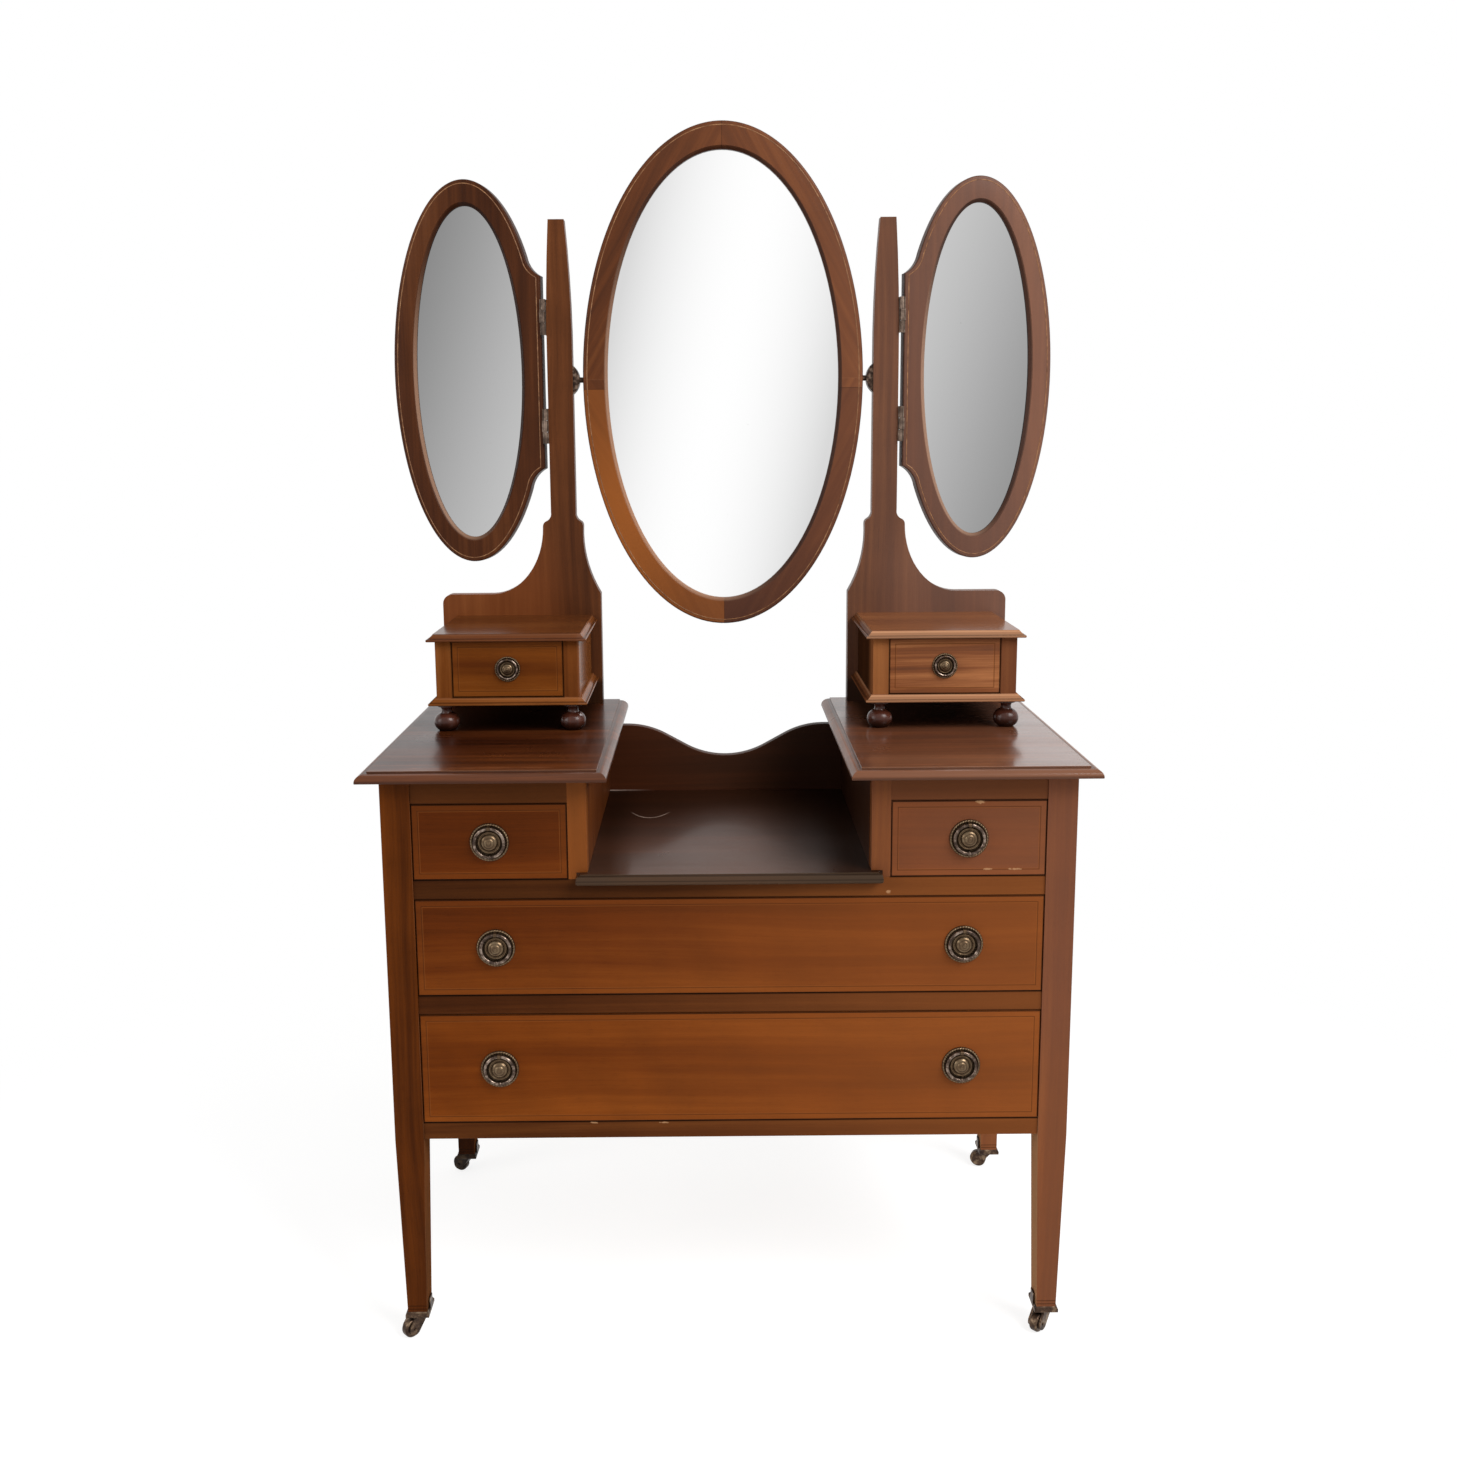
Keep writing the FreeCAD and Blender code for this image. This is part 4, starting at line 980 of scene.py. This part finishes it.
def dress_mirrors():
    mahogany("centre_mirror_frame", "centre frame", quarter_lay, CARCASS_TONES, roughness=0.32, level=0.12,
             seed=27.0, marks=centre_frame_marks)
    dress("centre_mirror_glass", mirror_glass("centre", slope=(2.0, -0.85), shape=light_band))
    for name, side in SIDES.items():
        mahogany(f"{name}_mirror_frame", f"{name} frame", along_z, SIDE_FRAME_TONES, roughness=0.32,
                 level=0.08, seed=29.4, marks=partial(bevel_marks, name=name), faded=FADED_LIT_FRAME)
        glass = mirror_glass(name, slope=(-0.5 * side, 0.45 * side), shape=even_slope)
        dress(f"{name}_mirror_glass", glass)
    board = plain_board("mirror back board", along_z, BOARD_TONES, seed=9.0)
    for name in MIRROR_REFLECTION_GREYS:
        dress(f"{name}_mirror_back", board, edge=0.5)


def dress_brass():
    ring_brass = old_brass("ring brass", RING_BRASS, roughness=0.24)
    castor_brass = old_brass("castor brass", CASTOR_BRASS, roughness=0.38, blotches=90, shade_where=shaded_corner)
    hinge_brass = old_brass("hinge brass", HINGE_BRASS, roughness=0.44, blotches=70)
    pivot_brass = old_brass("pivot brass", PIVOT_BRASS, roughness=0.36)
    for node in nodes:
        if node.endswith("_ring"):
            dress(node, ring_brass)
        if node.endswith(("_castor_horn", "_castor_wheel")):
            dress(node, castor_brass, edge=0.6)
        if node.endswith("_leaves"):
            dress(node, hinge_brass, edge=0.2)
    dress("castor_plates", castor_brass, edge=0.5)
    dress("mirror_pivots", pivot_brass, edge=0.4)
    collars = new_piece("castor_collars", castor_collars, castor_brass, "table")
    creased(collars, CREASE)


def bridge(work, here, there):
    """Faces between two closed rings of points."""
    count = len(here)
    for k in range(count):
        n = (k + 1) % count
        work.faces.new((here[k], here[n], there[n], there[k]))


def closed_tube(work, rings):
    """Faces along closed rings of points, and from the last ring to the first."""
    for here, there in zip(rings, rings[1:] + rings[:1]):
        bridge(work, here, there)


def castor_collars(work):
    """Moulded collars that cap the feet of the legs and hang a little below the castor plates."""
    for end in ("front", "rear"):
        for name in SIDES:
            middle = joints[f"{end}_{name}_castor_swivel"]["pos_m"]
            rings = []
            for inset, height in COLLAR_PROFILE:
                half_width = (COLLAR_HALF[0] - inset) * MM
                half_depth = (COLLAR_HALF[1] - inset) * MM
                rings.append([work.verts.new((middle[0] + half_width * across, middle[1] + half_depth * back,
                                              height * MM)) for across, back in CORNERS])
            closed_tube(work, rings)


# Light strings let into the mirror frames

def arc(half_width, half_height, start, end, steps):
    """Points of an oval round the origin, in equal steps from one turn to another."""
    turns = [start + (end - start) * k / steps for k in range(steps + 1)]
    return [(half_width * math.cos(turn), half_height * math.sin(turn)) for turn in turns]


def closed_strip(work, outline, to_world):
    """A thin closed band along an outline in a frame's own plane, let into its face."""
    section = ((-1, -STRING_DEPTH), (-1, STRING_PROUD), (1, STRING_PROUD), (1, -STRING_DEPTH))
    rings = []
    for k, (u, v) in enumerate(outline):
        before = outline[k - 1]
        after = outline[(k + 1) % len(outline)]
        tangent = Vector((after[0] - before[0], after[1] - before[1])).normalized()
        side = Vector((tangent.y, -tangent.x)) * (STRING_WIDTH / 2)
        rings.append([work.verts.new(to_world(u + across * side.x, v + across * side.y, out))
                      for across, out in section])
    closed_tube(work, rings)


def centre_string(work):
    middle, half = middle_of("centre_mirror_frame"), half_of("centre_mirror_frame")
    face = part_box("centre_mirror_frame")[0].y
    outline = arc(half.x - STRING_INSET, half.z - STRING_INSET, 0, 2 * math.pi, steps=240)[:-1]
    closed_strip(work, outline, lambda u, v, out: (middle.x + u, face - out, middle.z + v))


def side_string(work, name):
    """The line follows the side frame's outline: most of an oval, two hollows and the straight hinge side."""
    hinge = Vector(joints[f"{name}_mirror_swing"]["pos_m"])
    side = SIDES[name]
    half_width = SIDE_OVAL_HALF[0] - STRING_INSET
    half_height = SIDE_OVAL_HALF[1] - STRING_INSET
    hollow_steps, straight_steps = 8, 24
    last = math.pi - math.asin(SIDE_SHOULDER / SIDE_OVAL_HALF[1])
    oval = [(SIDE_OVAL_CENTRE + u, v) for u, v in arc(half_width, half_height, -last, last, steps=200)]
    top = Vector(oval[-1])
    corner = Vector((STRING_INSET, SIDE_STRAIGHT_HALF - 0.4 * STRING_INSET))
    chord = corner - top
    sag = Vector((chord.y, -chord.x)) * -SIDE_HOLLOW
    ways = [k / hollow_steps for k in range(1, hollow_steps + 1)]
    hollow = [top + chord * way + sag * (4 * way * (1 - way)) for way in ways]
    straight = [Vector((corner.x, corner.y * (1 - 2 * k / straight_steps))) for k in range(1, straight_steps)]
    lower = [Vector((point.x, -point.y)) for point in reversed(hollow)]
    outline = oval + [tuple(point) for point in hollow + straight + lower]
    turn = Matrix.Rotation(side * SIDE_SWING, 3, "Z")

    def to_world(u, v, out):
        flat = Vector((side * (SIDE_HINGE_GAP + u), SIDE_FACE_SETBACK - out, 0))
        place = turn @ flat
        return (hinge.x + place.x, hinge.y + place.y, hinge.z + v)

    closed_strip(work, outline, to_world)


def lay_strings():
    string = boxwood()
    new_piece("centre_frame_string", centre_string, string, "centre_mirror")
    for name in SIDES:
        build = partial(side_string, name=name)
        new_piece(f"{name}_frame_string", build, string, f"{name}_mirror")


# Back plates of the pulls, in millimetres: radius, height and, in the rim, the share of a bead's swell

PLATE_PROFILE = (
    (0.0, 9.0), (1.6, 8.9), (2.4, 8.4), (2.8, 8.1), (3.8, 8.2), (5.0, 7.9), (5.8, 7.3), (6.2, 6.7),
    (6.8, 6.5), (7.6, 6.7), (8.8, 6.0), (10.2, 4.6), (10.9, 3.6), (11.3, 2.9), (11.9, 2.8), (12.4, 3.3),
    (13.2, 3.6), (14.0, 3.2), (14.4, 2.2), (15.0, 1.6), (17.0, 1.4), (20.0, 1.5), (20.8, 1.8),
)
PLATE_GROOVES = ((2.4, 2.9), (6.0, 7.0))
RIM_PROFILE = ((21.4, 1.9, 0.7), (22.2, 2.3, 1.0), (23.1, 2.3, 1.0), (23.9, 1.8, 0.9), (24.4, 0.9, 0.3),
               (24.4, 0.0, 0.0))
RIM_SWELL = 0.75
PLATE_ABOVE_RING = 21.3
FITTING_POLISH = 0.35
LUG = {"half_width": 2.0, "height": 18.4, "reach": 5.0, "radius": 2.9, "root": 0.9}
BOLT_RADIUS = 2.2
NUT_RADIUS = 5.5
NUT_THICK = 4.0
FRONT_THICK = 20.0


def plate_polish(radius, out, bead):
    """How bright a spot of the plate is rubbed: the boss and its ring most, the flat and the beads less."""
    if radius >= RIM_PROFILE[0][0]:
        return 0.2 + 0.6 * bead / RIM_SWELL
    if any(inner <= radius <= outer for inner, outer in PLATE_GROOVES):
        return 0.2
    return max(0.4, min(0.7, (out - 1.5) / 3.5))


def turned_plate(work, place, size, polish):
    """One back plate; place is its middle on the drawer face and size turns millimetres into metres."""
    flat_rings = [(radius, out, 0.0) for radius, out in PLATE_PROFILE]
    made = []
    for radius, out, swell in flat_rings + list(RIM_PROFILE):
        count = 1 if radius == 0 else PULL_STEPS
        ring = []
        for k in range(count):
            turn = 2 * math.pi * k / PULL_STEPS
            bead = abs(math.sin(turn * PULL_BEADS / 2)) * RIM_SWELL * swell
            x = radius * math.cos(turn)
            z = radius * math.sin(turn)
            vert = work.verts.new(place + Vector((x, -out - bead, z)) * size)
            vert[polish] = plate_polish(radius, out, bead)
            ring.append(vert)
        made.append(ring)
    for inner, outer in zip(made, made[1:]):
        for k in range(PULL_STEPS):
            n = (k + 1) % PULL_STEPS
            if len(inner) == 1:
                work.faces.new((inner[0], outer[k], outer[n]))
            else:
                work.faces.new((inner[k], outer[k], outer[n], inner[n]))
    work.faces.new(made[-1])


def prism(work, outline, reach, polish):
    """A closed prism: an outline in space, drawn out along reach."""
    near = [work.verts.new(point) for point in outline]
    far = [work.verts.new(point + reach) for point in outline]
    for vert in near + far:
        vert[polish] = FITTING_POLISH
    bridge(work, near, far)
    work.faces.new(near)
    work.faces.new(far)


def pull_lug(work, place, size, polish):
    reach, radius, height = LUG["reach"], LUG["radius"], LUG["height"]
    nose = arc(radius, radius, -math.pi / 2, math.pi / 2, steps=10)
    outline = [(reach + u, height + v) for u, v in nose]
    outline += [(LUG["root"], height + radius), (LUG["root"], height - radius)]
    half = LUG["half_width"]
    side = [place + Vector((-half, -out, up)) * size for out, up in outline]
    prism(work, side, Vector((2 * half * size, 0, 0)), polish)


def pull_bolt(work, place, size, polish):
    """The bolt through the drawer front and the six-sided nut on it."""
    thick = FRONT_THICK * MM
    for radius, sides, start, length in ((BOLT_RADIUS, 16, 0.0, thick + 2 * NUT_THICK * size),
                                         (NUT_RADIUS, 6, thick, NUT_THICK * size)):
        circle = arc(radius * size, radius * size, 0, 2 * math.pi, steps=sides)[:-1]
        outline = [place + Vector((u, start, v)) for u, v in circle]
        prism(work, outline, Vector((0, length, 0)), polish)


def fit_pulls():
    """New back plates for every drawer, placed by the rings that hang on them."""
    brass = old_brass("pull brass", PLATE_BRASS, roughness=0.3, attribute="polish")
    rings = {}
    for joint in frame["joints"]:
        if joint["child"].endswith("_ring"):
            rings.setdefault(joint["parent"], []).append(joint["child"])
    for drawer, names in rings.items():
        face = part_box(f"{drawer}_front")[0].y

        def build(work):
            polish = work.verts.layers.float.new("polish")
            for name in names:
                low, high, middle = worked_box(name)
                size = (high.x - low.x) / PULL_RING_WIDTH * MM
                place = Vector((middle.x, face, low.z + PLATE_ABOVE_RING * size))
                turned_plate(work, place, size, polish)
                pull_lug(work, place, size, polish)
                pull_bolt(work, place, size, polish)

        piece = new_piece(f"{drawer}_pull_plates", build, brass, drawer)
        creased(piece, PULL_CREASE)
        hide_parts(f"{drawer}_plates")


# Studio: pale floor, white surroundings, soft lamps and the photograph's camera

WHITE = (1.0, 1.0, 1.0, 1.0)
DAYLIGHT = 0.4
FLOOR_LIFT = 0.54
FLOOR_REACH = 30.0
SHADOW_REACH = (0.6, 1.5)
SHADOW_SHARE = 0.4


def studio_floor():
    finish = Finish("pale floor")
    x, y, _ = finish.place()
    speckle = finish.even_noise(3, 3.0)
    colour = finish.ramp(speckle, [(0.3, (246, 246, 245)), (0.7, (250, 250, 249))])
    cover = finish.node("BsdfDiffuse", {}, {"Color": colour})
    lift = finish.node("Emission", {}, {"Color": WHITE, "Strength": FLOOR_LIFT})
    lifted = finish.node("AddShader", {}, {0: cover, 1: lift})
    white = finish.node("Emission", {}, {"Color": WHITE, "Strength": 1.0})
    shadow = finish.hypot(x, y).fall(*SHADOW_REACH) * SHADOW_SHARE
    seen = finish.node("MixShader", {}, {0: shadow, 1: white, 2: lifted})
    shader = finish.node("MixShader", {}, {0: seen_directly(finish), 1: cover, 2: seen})
    finish.node("OutputMaterial", {}, {"Surface": shader})
    mesh = bpy.data.meshes.new("floor")
    corners = [(FLOOR_REACH * across, FLOOR_REACH * back, 0) for across, back in CORNERS]
    mesh.from_pydata(corners, [], [(0, 1, 2, 3)])
    mesh.materials.append(finish.made)
    floor = in_scene("floor", mesh)


def seen_directly(finish):
    """1 for what the camera sees, also in a mirror or through glass, and 0 for the light on the piece."""
    kinds = ("Is Camera Ray", "Is Glossy Ray", "Is Transmission Ray")
    return finish.most(*[finish.node("LightPath", {}, {}, kind) for kind in kinds])


def white_surroundings():
    finish = Finish("white surroundings", bpy.data.worlds)
    soft = finish.node("Background", {}, {"Color": WHITE, "Strength": DAYLIGHT})
    white = finish.node("Background", {}, {"Color": WHITE, "Strength": 1.0})
    mixed = finish.node("MixShader", {}, {0: seen_directly(finish), 1: soft, 2: white})
    finish.node("OutputWorld", {}, {"Surface": mixed})
    bpy.context.scene.world = finish.made


def soft_lamp(name, place, target, size, power):
    light = bpy.data.lights.new(name, "AREA")
    light.shape = "SQUARE"
    light.size = size
    light.energy = power
    lamp = in_scene(name, light)
    lamp.location = place
    lamp.rotation_euler = (Vector(target) - Vector(place)).to_track_quat("-Z", "Y").to_euler()


def photo_camera():
    data = bpy.data.cameras.new("photo camera")
    data.sensor_width = SENSOR
    data.lens = SENSOR * LENS_PIXELS / PHOTO_SIZE
    data.shift_x = (PHOTO_SIZE / 2 - OPTICAL_CENTRE[0]) / PHOTO_SIZE
    data.shift_y = (OPTICAL_CENTRE[1] - PHOTO_SIZE / 2) / PHOTO_SIZE
    camera = in_scene("photo camera", data)
    yaw = Matrix.Rotation(-CAMERA_YAW, 4, "Z")
    pitch = Matrix.Rotation(math.pi / 2 + CAMERA_PITCH, 4, "X")
    roll = Matrix.Rotation(CAMERA_ROLL, 4, "Z")
    camera.matrix_world = Matrix.Translation(CAMERA_PLACE) @ yaw @ pitch @ roll
    bpy.context.scene.camera = camera


dress_table()
dress_drawers()
dress_mirrors()
dress_brass()
lay_strings()
fit_pulls()
studio_floor()
white_surroundings()
soft_lamp("window", place=(2.5, -2.2, 3.5), target=(0, 0, 0.8), size=2.2, power=145)
soft_lamp("fill", place=(-3.6, -1.6, 2.0), target=(0, 0, 0.7), size=1.8, power=30)
photo_camera()
bpy.context.scene.view_settings.view_transform = "Standard"
